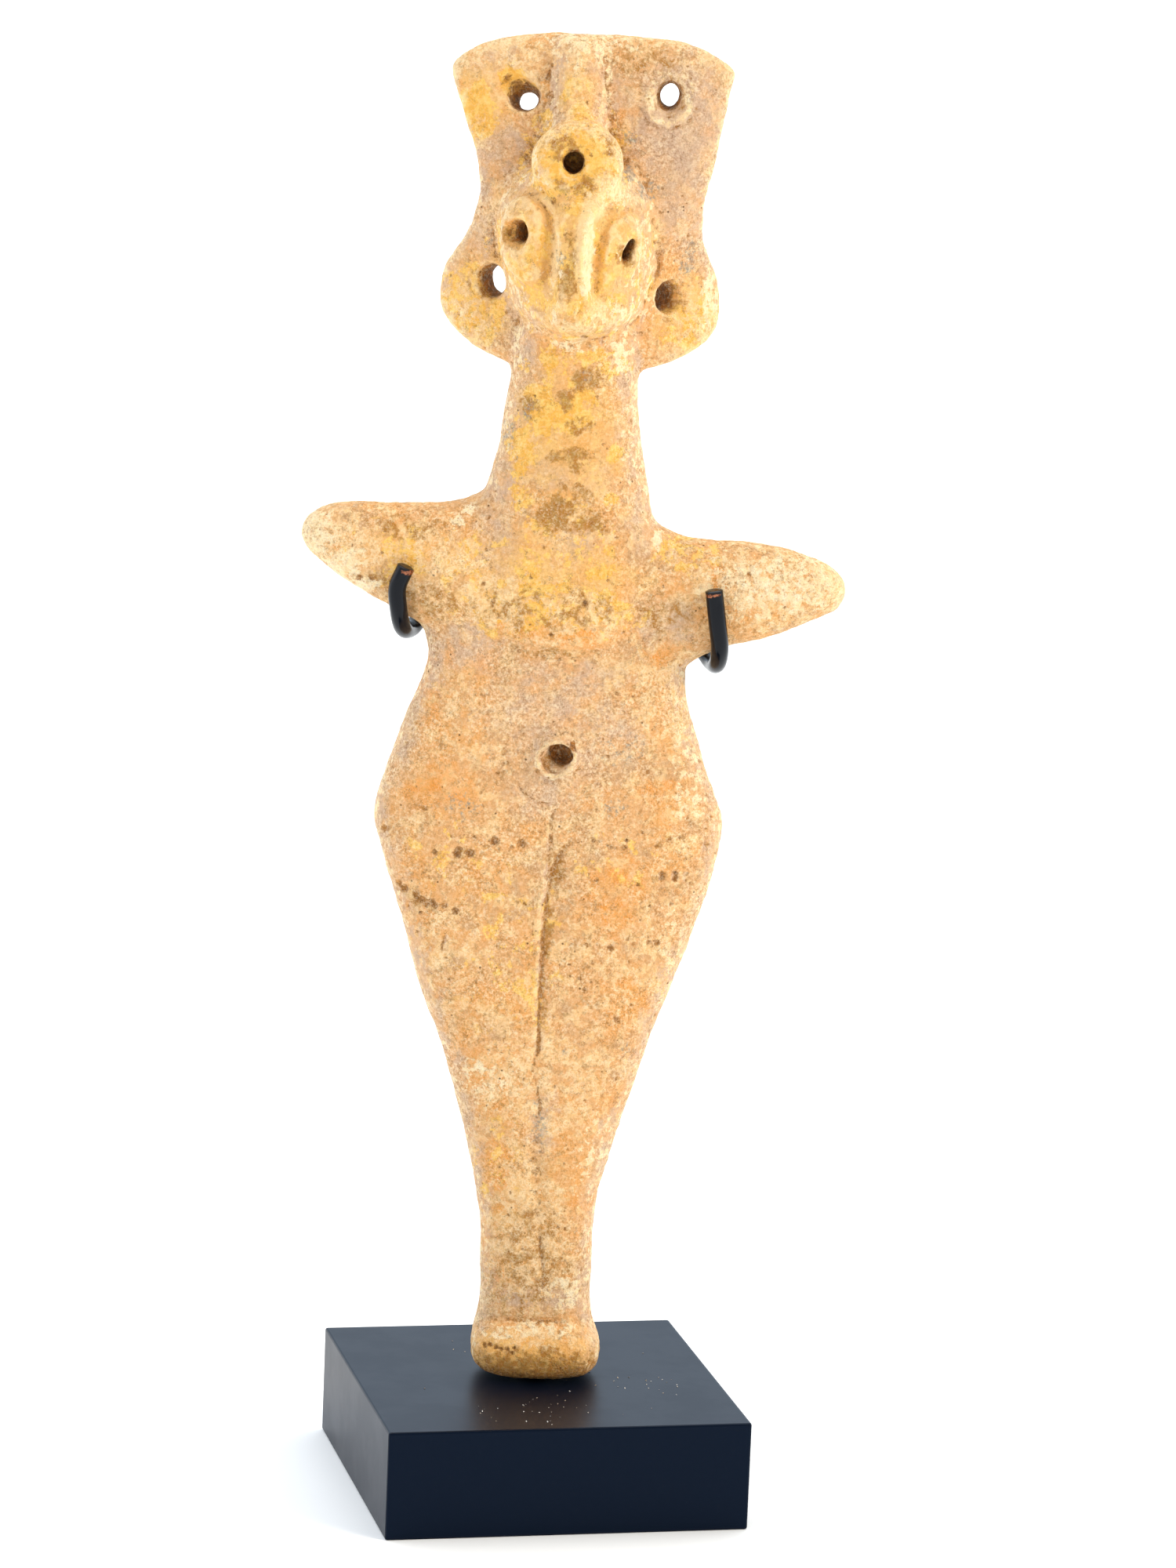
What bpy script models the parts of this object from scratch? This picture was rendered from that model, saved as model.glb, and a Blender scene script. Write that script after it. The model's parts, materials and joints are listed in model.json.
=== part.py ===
"""Terracotta goddess figurine, held upright on a small plinth by a bent-rod cradle.

Three separate pieces, each one closed solid:
  figurine  fired clay, modelled as one piece: fan headdress, beaked face, stub arms, joined legs
  cradle    one upright rod with a cross rod brazed on its top, bent into a hook under each arm
  plinth    square block, with a blind socket that the upright stands in

World frame: metres, +Z up, front towards -Y, origin at the middle of the plinth's underside.
The figure and its cradle share one empty, which stands on the plinth's top and is turned a
little away from the plinth's front.
"""

import math

import bmesh
import bpy
import numpy as np
from mathutils import Matrix, Vector
from mathutils.bvhtree import BVHTree

# Plinth, in metres
PLINTH_WIDTH = 0.050
PLINTH_DEPTH = 0.050
PLINTH_HEIGHT = 0.015
PLINTH_EDGE = 0.0003

# Figurine, in metres, and where it stands on the plinth
FIGURE_HEIGHT = 0.184
FIGURE_X = 0.0005
FIGURE_Y = 0.0022
FIGURE_TURN = math.radians(-12.8)
SOLE_GAP = 0.0003

# Cradle rod and its fits, in metres; the socket stops this far above the plinth's underside
ROD_DIAMETER = 0.0024
ROD_CLEARANCE = 0.0005
SOCKET_FLOOR = 0.006
SOCKET_CLEARANCE = 0.0003

# The clay's own forms are in parts of its height: one part is a 184th of it
PART = FIGURE_HEIGHT / 184.0

# Fineness of the clay's skin, of the forms under it, and of the rod and its socket
SKIN_VOXEL = 0.65 * PART
SKIN_SMOOTHING = 5
SKIN_TRIANGLES = 6200
BROAD_SIDES = 48
SMALL_SIDES = 24
TRUNK_STEP = 2.0
HEAD_STEP = 0.9
ARM_STEP = 1.6
ROD_SIDES = 12
ROD_STEP = 0.0020
SOCKET_SIDES = 24
EDGE_SEGMENTS = 2

# Sections of feet, legs, trunk and neck:
# height, left edge, right edge, front depth, back depth, squareness
TRUNK = (
    (0.0, -7.3, 7.2, 6.2, 4.0, 3.0),
    (0.8, -8.4, 8.2, 7.4, 4.8, 3.1),
    (2.2, -9.0, 8.8, 8.0, 5.2, 3.2),
    (4.2, -9.0, 8.8, 7.9, 5.3, 3.1),
    (6.0, -8.6, 8.2, 6.7, 5.3, 2.9),
    (7.8, -8.1, 7.5, 5.2, 5.2, 2.6),
    (10.0, -7.9, 7.2, 5.0, 5.1, 2.5),
    (16.0, -8.1, 7.1, 5.0, 5.0, 2.4),
    (22.5, -8.5, 7.4, 5.1, 5.2, 2.4),
    (31.0, -10.4, 9.3, 5.4, 5.5, 2.4),
    (42.0, -13.5, 12.3, 5.8, 6.0, 2.5),
    (53.0, -17.6, 15.8, 6.1, 6.4, 2.6),
    (64.0, -21.0, 19.7, 6.4, 6.9, 2.6),
    (72.5, -23.9, 21.8, 6.6, 7.3, 2.6),
    (78.0, -25.0, 22.7, 6.7, 7.4, 2.6),
    (83.0, -23.9, 21.1, 6.5, 7.0, 2.6),
    (90.0, -21.4, 18.6, 6.2, 6.2, 2.6),
    (96.5, -19.1, 16.8, 5.9, 5.6, 2.6),
    (100.0, -18.2, 16.6, 5.9, 5.5, 2.6),
    (103.0, -18.8, 17.4, 5.9, 5.5, 2.6),
    (110.0, -15.2, 14.8, 6.2, 5.8, 2.5),
    (117.0, -12.4, 12.4, 6.4, 6.2, 2.3),
    (123.0, -11.2, 10.8, 6.4, 6.4, 2.2),
    (130.0, -9.5, 9.4, 6.5, 6.5, 2.1),
    (138.0, -8.6, 8.6, 6.7, 6.4, 2.1),
    (144.0, -8.2, 8.4, 6.6, 5.4, 2.1),
    (150.0, -5.8, 6.2, 5.6, 4.2, 2.1),
)

# Sections of the head plate, from ear lobes to the top of the headdress:
# height, left edge, right edge, front depth, back depth, squareness
HEAD_PLATE = (
    (139.6, -8.6, 10.2, 1.6, 1.6, 2.4),
    (141.4, -12.7, 14.8, 2.4, 2.3, 2.6),
    (144.2, -16.9, 18.5, 2.8, 2.7, 2.8),
    (148.6, -18.8, 19.5, 2.9, 2.8, 2.8),
    (152.2, -18.2, 18.8, 2.9, 2.8, 2.8),
    (157.0, -15.3, 16.9, 2.8, 2.7, 2.8),
    (161.5, -13.8, 16.6, 2.8, 2.7, 2.8),
    (166.5, -14.0, 17.6, 2.8, 2.7, 2.8),
    (172.5, -16.2, 18.7, 2.7, 2.6, 2.8),
    (178.2, -18.0, 19.8, 2.6, 2.5, 2.8),
    (179.4, -18.1, 20.2, 2.5, 2.4, 2.8),
    (180.2, -17.2, 19.5, 2.5, 2.4, 2.8),
    (181.5, -15.2, 17.5, 2.4, 2.3, 2.7),
    (182.6, -12.8, 15.4, 2.2, 2.1, 2.6),
    (183.3, -9.2, 12.8, 1.9, 1.8, 2.5),
    (183.7, -6.2, 9.4, 1.6, 1.5, 2.4),
    (184.1, -3.4, 5.4, 1.0, 1.0, 2.2),
)

# The plate leans back by this slope above its foot, and the ear lobes sweep further back: how much,
# how far out from the middle, at which height and over what spread of height
PLATE_FOOT = 139.6
PLATE_LEAN = 0.045
EAR_SWEEP = 5.0
EAR_REACH = 18.0
EAR_HEIGHT = 149.0
EAR_SPREAD = 9.0

# Sections of the face between the ears, as above
FACE = (
    (143.6, -3.4, 3.6, 6.6, 1.0, 2.0),
    (144.8, -6.2, 6.2, 9.4, 1.0, 2.0),
    (147.0, -8.2, 8.2, 10.8, 1.0, 2.0),
    (150.5, -9.6, 9.4, 10.6, 1.0, 1.9),
    (155.0, -10.6, 10.0, 9.9, 1.0, 1.9),
    (159.5, -11.2, 9.9, 9.4, 1.0, 1.9),
    (163.0, -10.4, 9.2, 8.6, 1.0, 1.9),
    (166.5, -7.4, 7.0, 7.0, 1.0, 2.0),
)
BEAK = (
    (144.2, -2.8, 2.8, 9.6, 1.0, 2.6),
    (146.2, -4.4, 3.9, 12.0, 1.0, 2.8),
    (149.5, -3.9, 3.0, 13.2, 1.0, 3.0),
    (154.0, -3.2, 2.2, 12.9, 1.0, 3.0),
    (158.5, -3.3, 2.6, 12.0, 1.0, 3.0),
    (162.0, -4.2, 4.2, 10.6, 1.0, 2.8),
    (164.5, -4.6, 4.8, 9.0, 1.0, 2.6),
)
CREST = (
    (166.0, -5.4, 3.8, 6.4, 1.0, 2.0),
    (170.0, -5.4, 3.7, 6.2, 1.0, 2.0),
    (173.0, -5.2, 3.4, 4.9, 1.0, 2.0),
    (176.0, -4.6, 2.9, 4.0, 1.0, 2.0),
    (179.0, -4.1, 2.5, 3.4, 1.0, 2.0),
    (182.6, -4.0, 2.2, 2.4, 1.0, 2.0),
    (184.0, -3.2, 1.6, 1.2, 1.0, 2.0),
)

# Raised collar on the chest, as above
COLLAR = (
    (101.0, -2.6, 4.0, 5.6, 1.0, 2.3),
    (102.0, -6.4, 7.6, 6.8, 1.0, 2.4),
    (105.0, -10.6, 11.4, 7.1, 1.0, 2.5),
    (110.0, -13.4, 13.8, 7.2, 1.0, 2.5),
    (116.0, -13.0, 13.2, 7.2, 1.0, 2.4),
    (122.0, -10.2, 10.2, 6.9, 1.0, 2.3),
    (126.0, -8.6, 8.6, 6.4, 1.0, 2.2),
)

# Sections of the stub arms: distance from the middle, top edge, bottom edge, front depth, back depth
LEFT_ARM = (
    (9.0, 123.4, 100.0, 5.6, 5.2),
    (12.2, 122.1, 100.6, 5.6, 5.2),
    (15.0, 121.0, 101.4, 5.5, 5.2),
    (20.0, 120.6, 104.2, 5.3, 5.0),
    (24.0, 120.3, 106.4, 5.0, 4.8),
    (28.0, 120.2, 108.7, 4.6, 4.5),
    (31.5, 119.8, 110.6, 3.9, 3.9),
    (34.0, 118.8, 112.5, 2.9, 2.9),
    (35.6, 117.3, 114.0, 1.6, 1.6),
    (36.0, 116.4, 115.2, 0.6, 0.6),
)
RIGHT_ARM = (
    (9.0, 121.2, 97.6, 5.6, 5.2),
    (12.0, 119.2, 98.0, 5.6, 5.2),
    (15.0, 117.6, 98.8, 5.5, 5.2),
    (20.0, 117.1, 101.5, 5.3, 5.0),
    (24.0, 117.0, 102.9, 5.1, 4.9),
    (28.0, 116.5, 104.1, 4.7, 4.6),
    (32.5, 115.3, 105.9, 4.1, 4.1),
    (35.6, 114.0, 107.3, 3.2, 3.2),
    (37.4, 112.5, 108.7, 2.0, 2.0),
    (38.0, 111.4, 110.0, 0.8, 0.8),
)
ARM_SQUARENESS = 2.2

# Applied pellets of clay: middle (x, depth, z), half width, half height, thickness, turn to the side,
# tilt in its own plane and pitch, in parts and degrees
FOREHEAD_DISC = ((-0.65, -4.4, 167.0), 6.3, 5.8, 4.9, 0.0, 0.0, -14.0)
LEFT_EYE = ((-6.5, -6.8, 157.2), 4.1, 6.0, 2.4, -36.0, -13.0, 0.0)
RIGHT_EYE = ((4.5, -7.2, 155.8), 3.9, 5.8, 2.4, 36.0, 19.0, 0.0)
NAVEL_RIM = ((-0.3, -6.0, 87.6), 3.1, 3.0, 1.5, 0.0, 0.0, 0.0)

# How a pellet rounds off from its back to its face: share of its thickness, share of its width
PELLET_PROFILE = ((0.0, 0.80), (0.0, 0.94), (0.3, 1.0), (0.62, 0.94), (0.85, 0.74), (1.0, 0.3))

# Holes: middle of the mouth (x, depth, z), turn to the side and pitch of the tool in degrees,
# mouth radius, mouth depth, bore radius, whole depth; each cut starts this far in front of its mouth
MARK_START = 2.5
MARK_SIDES = 14
PIERCED_HOLES = (
    ((-8.3, -1.1, 175.8), -10.0, -15.0, 2.3, 3.2, 1.35, 9.0),
    ((11.3, -1.1, 176.4), 0.0, -2.0, 2.3, 2.4, 1.5, 9.0),
    ((-11.7, -0.3, 150.6), -20.0, 0.0, 2.3, 2.2, 1.65, 10.0),
    ((12.3, -0.1, 149.4), 36.0, 0.0, 2.1, 1.8, 1.5, 12.0),
)
PUNCHED_HOLES = (
    ((-1.1, -9.4, 167.6), 0.0, 0.0, 1.9, 0.7, 1.45, 5.4),
    ((-8.3, -8.5, 157.9), -32.0, 0.0, 1.9, 1.5, 1.1, 4.2),
    ((7.0, -8.6, 156.3), 32.0, 0.0, 1.4, 0.9, 0.9, 4.0),
    ((-0.3, -7.3, 87.6), -18.0, 14.0, 2.0, 0.7, 1.6, 4.2),
)

# Incised line between the legs: x, height, half width, depth of the cut
LEG_LINE = (
    (1.9, 76.2, 0.4, 0.4),
    (-0.3, 72.6, 0.7, 1.4),
    (-0.7, 66.0, 0.7, 1.5),
    (-1.0, 56.0, 0.6, 1.3),
    (-1.3, 46.0, 0.5, 1.0),
    (-1.2, 36.5, 0.4, 0.4),
)
LINE_STEP = 4.0
LINE_START = 1.0

# Rows of small punctures: x and height of the first and the last, and how many
PUNCTURE_ROWS = (
    (-23.0, 75.9, -18.2, 74.5, 3),
    (-16.3, 73.8, -11.4, 73.7, 4),
    (-10.0, 75.7, -2.4, 75.6, 5),
    (3.9, 76.3, 20.0, 76.1, 11),
    (-21.1, 68.6, -13.1, 65.3, 7),
    (14.7, 71.1, 19.8, 71.5, 4),
    (2.8, 61.5, 17.9, 62.2, 8),
)
PUNCTURE_RADIUS = 0.45
PUNCTURE_DEPTH = 0.5
PUNCTURE_TIP = 0.4
PUNCTURE_SIDES = 5

# How the rod goes round the arms: degrees down from the front, and how far out it is at each of them
HOOK_TURNS = (0.0, 25.0, 50.0, 75.0, 100.0, 120.0)
LEFT_HOOK = (21.4, 22.4, 22.2, 21.6, 20.6, 19.0)
RIGHT_HOOK = (20.0, 20.7, 21.1, 20.9, 20.2, 18.8)
LEFT_TIP_HEIGHT = 112.6
RIGHT_TIP_HEIGHT = 111.1
CROSS_ROD_HEIGHT = 104.6
CROSS_ROD_REACH = 13.5

# Measuring the rod's fit to the clay: a distance that is outside the clay all round, the spacing of
# the heights measured up its back, and how often a point is put back to its clearance
CLEAR_OF_CLAY = 30.0
BACK_STEP = 2.0
FIT_PASSES = 4

# Clay and finish colours, straight from the pieces: red, green, blue as linear values
CLAY_COLOUR = (0.68, 0.39, 0.19, 1.0)
PAINT_COLOUR = (0.012, 0.013, 0.016, 1.0)
BLOCK_COLOUR = (0.010, 0.014, 0.022, 1.0)


def clear_scene():
    """Remove every object that the new file starts with."""
    for old in list(bpy.data.objects):
        bpy.data.objects.remove(old)


def finish(name, colour, roughness, metallic=0.0):
    """A plain material with the piece's colour and gloss."""
    material = bpy.data.materials.new(name)
    material.use_nodes = True
    shader = material.node_tree.nodes["Principled BSDF"]
    shader.inputs["Base Color"].default_value = colour
    shader.inputs["Roughness"].default_value = roughness
    shader.inputs["Metallic"].default_value = metallic
    return material


def object_from(bm, name, parent=None):
    """Close a bmesh into a named object in the scene."""
    bmesh.ops.recalc_face_normals(bm, faces=bm.faces)
    mesh = bpy.data.meshes.new(name)
    bm.to_mesh(mesh)
    bm.free()
    made = bpy.data.objects.new(name, mesh)
    made.parent = parent
    bpy.context.scene.collection.objects.link(made)
    return made


def smooth_rows(rows, step):
    """Rows on one smooth curve through the given rows, about step apart in their first number."""
    table = np.array(rows, dtype=float)
    slopes = np.gradient(table, table[:, 0], axis=0)
    found = []
    for low, high, slope_low, slope_high in zip(table, table[1:], slopes, slopes[1:]):
        span = high[0] - low[0]
        count = max(1, round(abs(span) / step))
        for t in np.arange(count) / count:
            found.append(
                (2 * t**3 - 3 * t**2 + 1) * low
                + (t**3 - 2 * t**2 + t) * span * slope_low
                + (3 * t**2 - 2 * t**3) * high
                + (t**3 - t**2) * span * slope_high
            )
    found.append(table[-1])
    return found


def rounded_section(half, front, back, squareness, sides):
    """Points (across, depth) round a superellipse, with its own depth to the front and the back."""
    for i in range(sides):
        turn = math.tau * i / sides
        across = math.copysign(abs(math.cos(turn)) ** (2 / squareness), math.cos(turn))
        deep = math.copysign(abs(math.sin(turn)) ** (2 / squareness), math.sin(turn))
        yield half * across, deep * (back if deep > 0 else front)


def skin(bm, rings):
    """Bridge rings of points into one closed tube with flat ends."""
    loops = [[bm.verts.new(point) for point in ring] for ring in rings]
    for low, high in zip(loops, loops[1:]):
        for i in range(len(low)):
            j = (i + 1) % len(low)
            bm.faces.new((low[i], low[j], high[j], high[i]))
    bm.faces.new(loops[0])
    bm.faces.new(loops[-1])


def plate_depth(x, height):
    """How far behind the figure's middle plane the head plate's own middle lies."""
    lean = PLATE_LEAN * (height - PLATE_FOOT)
    near_ear = math.exp(-(((height - EAR_HEIGHT) / EAR_SPREAD) ** 2))
    return lean + EAR_SWEEP * near_ear * (x / EAR_REACH) ** 2


def level_rings(rows, step, sides, on_plate=False):
    """Rings of a form built up in level sections, in parts, from its table of rows."""
    for height, left, right, front, back, squareness in smooth_rows(rows, step):
        middle, half = (left + right) / 2, (right - left) / 2
        ring = []
        for across, deep in rounded_section(half, front, back, squareness, sides):
            x = middle + across
            shift = plate_depth(x, height) if on_plate else 0.0
            ring.append(Vector((x, deep + shift, height)) * PART)
        yield ring


def arm_rings(rows, side):
    """Rings of a stub arm, in upright sections outwards; side is -1 for the left, 1 for the right."""
    for reach, top, bottom, front, back in smooth_rows(rows, ARM_STEP):
        middle, half = (top + bottom) / 2, (top - bottom) / 2
        yield [
            Vector((side * reach, deep, middle + across)) * PART
            for across, deep in rounded_section(half, front, back, ARM_SQUARENESS, SMALL_SIDES)
        ]


def pellet(bm, middle, half_width, half_height, thickness, turn, tilt, pitch):
    """A flattened round of clay, pressed on with its face to the front and its rim rounded off."""
    place = (
        Matrix.Translation(Vector(middle) * PART)
        @ Matrix.Rotation(math.radians(turn), 4, "Z")
        @ Matrix.Rotation(math.radians(pitch), 4, "X")
        @ Matrix.Rotation(math.radians(tilt), 4, "Y")
    )
    rings = []
    for share, radius in PELLET_PROFILE:
        ring = []
        for i in range(SMALL_SIDES):
            angle = math.tau * i / SMALL_SIDES
            x = half_width * radius * math.cos(angle)
            z = half_height * radius * math.sin(angle)
            ring.append(place @ (Vector((x, -share * thickness, z)) * PART))
        rings.append(ring)
    skin(bm, rings)


def clay_body(parent):
    """The hand-modelled clay before it is cut: all forms pressed together under one smoothed skin."""
    bm = bmesh.new()
    skin(bm, level_rings(TRUNK, TRUNK_STEP, BROAD_SIDES))
    skin(bm, level_rings(HEAD_PLATE, HEAD_STEP, BROAD_SIDES, on_plate=True))
    skin(bm, level_rings(FACE, HEAD_STEP, SMALL_SIDES))
    skin(bm, level_rings(BEAK, HEAD_STEP, SMALL_SIDES))
    skin(bm, level_rings(CREST, HEAD_STEP, SMALL_SIDES))
    skin(bm, level_rings(COLLAR, HEAD_STEP, BROAD_SIDES))
    skin(bm, arm_rings(LEFT_ARM, -1))
    skin(bm, arm_rings(RIGHT_ARM, 1))
    for form in (FOREHEAD_DISC, LEFT_EYE, RIGHT_EYE, NAVEL_RIM):
        pellet(bm, *form)
    body = object_from(bm, "figurine", parent)
    fuse = body.modifiers.new("one skin", "REMESH")
    fuse.mode = "VOXEL"
    fuse.voxel_size = SKIN_VOXEL
    soften = body.modifiers.new("thumbed smooth", "SMOOTH")
    soften.factor = 0.5
    soften.iterations = SKIN_SMOOTHING
    thin = body.modifiers.new("fewer faces", "DECIMATE")
    thin.ratio = SKIN_TRIANGLES / count_triangles(body)
    return body


def count_triangles(body):
    """How many triangles the object's evaluated mesh has."""
    depsgraph = bpy.context.evaluated_depsgraph_get()
    mesh = body.evaluated_get(depsgraph).to_mesh()
    return sum(len(face.vertices) - 2 for face in mesh.polygons)


def tool_mark(bm, mouth, turn, pitch, mouth_radius, mouth_depth, bore_radius, depth):
    """The solid that a round tool leaves: a flared mouth and a bore, starting just clear of the clay."""
    flare = (mouth_radius - bore_radius) / mouth_depth
    profile = (
        (-MARK_START, mouth_radius + flare * MARK_START),
        (mouth_depth, bore_radius),
        (depth, bore_radius),
    )
    place = (
        Matrix.Translation(Vector(mouth) * PART)
        @ Matrix.Rotation(math.radians(turn), 4, "Z")
        @ Matrix.Rotation(math.radians(pitch), 4, "X")
    )
    rings = []
    for reach, radius in profile:
        ring = []
        for i in range(MARK_SIDES):
            angle = math.tau * i / MARK_SIDES
            point = Vector((radius * math.cos(angle), reach, radius * math.sin(angle)))
            ring.append(place @ (point * PART))
        rings.append(ring)
    skin(bm, rings)


def leg_line(bm):
    """A wedge that follows the line between the legs and cuts deepest at the crotch."""
    rings = []
    upwards = [(height, x, half, cut) for x, height, half, cut in LEG_LINE[::-1]]
    for height, x, half, cut in smooth_rows(upwards, LINE_STEP):
        front = np.interp(height, [row[0] for row in TRUNK], [row[3] for row in TRUNK])
        wide = half + LINE_START * half / cut
        rings.append([
            Vector((x, cut - front, height)) * PART,
            Vector((x - wide, -front - LINE_START, height)) * PART,
            Vector((x + wide, -front - LINE_START, height)) * PART,
        ])
    skin(bm, rings)


def surface_of(body):
    """The body's finished surface, in its own coordinates, for measuring fits against it."""
    return BVHTree.FromObject(body, bpy.context.evaluated_depsgraph_get())


def punctures(bm, surface):
    """Points pressed into the clay's front, each on the surface where it stands."""
    flare = PUNCTURE_RADIUS / PUNCTURE_DEPTH
    for first_x, first_height, last_x, last_height, count in PUNCTURE_ROWS:
        for share in np.linspace(0.0, 1.0, count):
            x = first_x + (last_x - first_x) * share
            height = first_height + (last_height - first_height) * share
            start = Vector((x, -CLEAR_OF_CLAY, height)) * PART
            spot, normal, _, _ = surface.ray_cast(start, Vector((0.0, 1.0, 0.0)))
            place = Matrix.Translation(spot) @ normal.to_track_quat("Z", "Y").to_matrix().to_4x4()
            rings = []
            for rise in (PUNCTURE_DEPTH, -PUNCTURE_TIP):
                radius = (rise + PUNCTURE_DEPTH) * flare
                rings.append([
                    place @ (Vector((radius * math.cos(turn), radius * math.sin(turn), rise)) * PART)
                    for turn in np.arange(PUNCTURE_SIDES) * math.tau / PUNCTURE_SIDES
                ])
            skin(bm, rings)


def cut_away(body, cutter):
    """Subtract a hidden cutter from the body."""
    cutter.hide_render = True
    cutter.display_type = "WIRE"
    cut = body.modifiers.new(cutter.name, "BOOLEAN")
    cut.operation = "DIFFERENCE"
    cut.solver = "EXACT"
    cut.object = cutter


def make_figurine(parent):
    """The figurine: the clay body with its pierced and punched holes and its incised leg line."""
    body = clay_body(parent)
    for name, marks in (("pierced holes", PIERCED_HOLES), ("punched holes", PUNCHED_HOLES)):
        bm = bmesh.new()
        for mark in marks:
            tool_mark(bm, *mark)
        cut_away(body, object_from(bm, name, parent))
    bm = bmesh.new()
    leg_line(bm)
    cut_away(body, object_from(bm, "leg line", parent))
    bm = bmesh.new()
    punctures(bm, surface_of(body))
    cut_away(body, object_from(bm, "punctures", parent))
    body.data.materials.append(finish("fired clay", CLAY_COLOUR, 0.85))
    return body


def stand_off(surface, inside, direction):
    """Where the rod's centre line passes the clay: out from a point inside it, clear by the fit."""
    spot, _, _, _ = surface.ray_cast(inside, direction)
    route_point = spot + direction * (ROD_DIAMETER / 2 + ROD_CLEARANCE)
    for _ in range(FIT_PASSES):
        nearest, _, _, gap = surface.find_nearest(route_point)
        short = ROD_DIAMETER / 2 + ROD_CLEARANCE - gap
        route_point += (route_point - nearest).normalized() * short
    return route_point


def hook_route(surface, side, arm, hook, tip_height):
    """Centre line of one hook: tip, down the arm's front, round under it and in behind the trunk."""
    route = []
    for angle, reach in zip(HOOK_TURNS, hook):
        top, bottom = (np.interp(reach, [row[0] for row in arm], [row[k] for row in arm]) for k in (1, 2))
        inside = Vector((side * reach, 0.0, (top + bottom) / 2)) * PART
        turn = math.radians(angle)
        route.append(stand_off(surface, inside, Vector((0.0, -math.cos(turn), -math.sin(turn)))))
    route[0].z = tip_height * PART
    inside = Vector((side * CROSS_ROD_REACH, 0.0, CROSS_ROD_HEIGHT)) * PART
    route.append(stand_off(surface, inside, Vector((0.0, 1.0, 0.0))))
    return route


def sweep(bm, route, step):
    """A round rod along a smooth line through the route's points, with flat ends."""
    lengths = np.cumsum([0.0] + [(b - a).length for a, b in zip(route, route[1:])])
    rows = [(length, *point) for length, point in zip(lengths, route)]
    line = [Vector(row[1:]) for row in smooth_rows(rows, step)]
    rings = []
    across = Vector((1.0, 0.0, 0.0))
    for i, point in enumerate(line):
        ahead = (line[min(i + 1, len(line) - 1)] - line[max(i - 1, 0)]).normalized()
        across = (across - ahead * across.dot(ahead)).normalized()
        beside = ahead.cross(across)
        ring = []
        for k in range(ROD_SIDES):
            turn = math.tau * k / ROD_SIDES
            offset = across * math.cos(turn) + beside * math.sin(turn)
            ring.append(point + offset * ROD_DIAMETER / 2)
        rings.append(ring)
    skin(bm, rings)


def upright_depth(surface):
    """How far behind the figure's middle the upright stands, to clear its back all the way up."""
    backs = []
    for height in np.arange(BACK_STEP, CROSS_ROD_HEIGHT, BACK_STEP):
        start = Vector((0.0, CLEAR_OF_CLAY, height)) * PART
        backs.append(surface.ray_cast(start, Vector((0.0, -1.0, 0.0)))[0].y)
    return max(backs) + ROD_DIAMETER / 2 + ROD_CLEARANCE


def make_cradle(surface, parent):
    """The cradle: the upright, and the cross rod that ends in the two hooks, brazed into one."""
    depth = upright_depth(surface)
    middle = Vector((0.0, depth, CROSS_ROD_HEIGHT * PART))
    left = hook_route(surface, -1, LEFT_ARM, LEFT_HOOK, LEFT_TIP_HEIGHT)
    right = hook_route(surface, 1, RIGHT_ARM, RIGHT_HOOK, RIGHT_TIP_HEIGHT)
    bm = bmesh.new()
    sweep(bm, left + [middle] + right[::-1], ROD_STEP)
    cradle = object_from(bm, "cradle", parent)
    bm = bmesh.new()
    foot = Vector((0.0, depth, SOCKET_FLOOR + SOCKET_CLEARANCE - PLINTH_HEIGHT - SOLE_GAP))
    sweep(bm, [foot, middle], middle.z - foot.z)
    upright = object_from(bm, "upright", parent)
    upright.hide_render = True
    upright.display_type = "WIRE"
    braze = cradle.modifiers.new("brazed joint", "BOOLEAN")
    braze.operation = "UNION"
    braze.solver = "EXACT"
    braze.object = upright
    cradle.data.materials.append(finish("black painted rod", PAINT_COLOUR, 0.3))
    return foot


def make_plinth(foot):
    """The plinth: a square block with softened edges and a blind socket round the upright's foot."""
    bm = bmesh.new()
    bmesh.ops.create_cube(bm, size=1.0)
    bmesh.ops.scale(bm, vec=(PLINTH_WIDTH, PLINTH_DEPTH, PLINTH_HEIGHT), verts=bm.verts)
    bmesh.ops.translate(bm, vec=(0.0, 0.0, PLINTH_HEIGHT / 2), verts=bm.verts)
    plinth = object_from(bm, "plinth")
    soften = plinth.modifiers.new("softened edges", "BEVEL")
    soften.width = PLINTH_EDGE
    soften.segments = EDGE_SEGMENTS
    bm = bmesh.new()
    radius = ROD_DIAMETER / 2 + SOCKET_CLEARANCE
    rings = []
    for height in (SOCKET_FLOOR, PLINTH_HEIGHT + radius):
        rings.append([
            Vector((foot.x + radius * math.cos(turn), foot.y + radius * math.sin(turn), height))
            for turn in np.arange(SOCKET_SIDES) * math.tau / SOCKET_SIDES
        ])
    skin(bm, rings)
    cut_away(plinth, object_from(bm, "socket"))
    plinth.data.materials.append(finish("satin black acrylic", BLOCK_COLOUR, 0.35))


def main():
    """Build the three pieces."""
    clear_scene()
    stand_point = bpy.data.objects.new("figure stand point", None)
    stand_point.location = (FIGURE_X, FIGURE_Y, PLINTH_HEIGHT + SOLE_GAP)
    stand_point.rotation_euler = (0.0, 0.0, FIGURE_TURN)
    bpy.context.scene.collection.objects.link(stand_point)
    figurine = make_figurine(stand_point)
    bpy.context.view_layer.update()
    foot = make_cradle(surface_of(figurine), stand_point)
    make_plinth(stand_point.matrix_world @ foot)


main()
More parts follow.
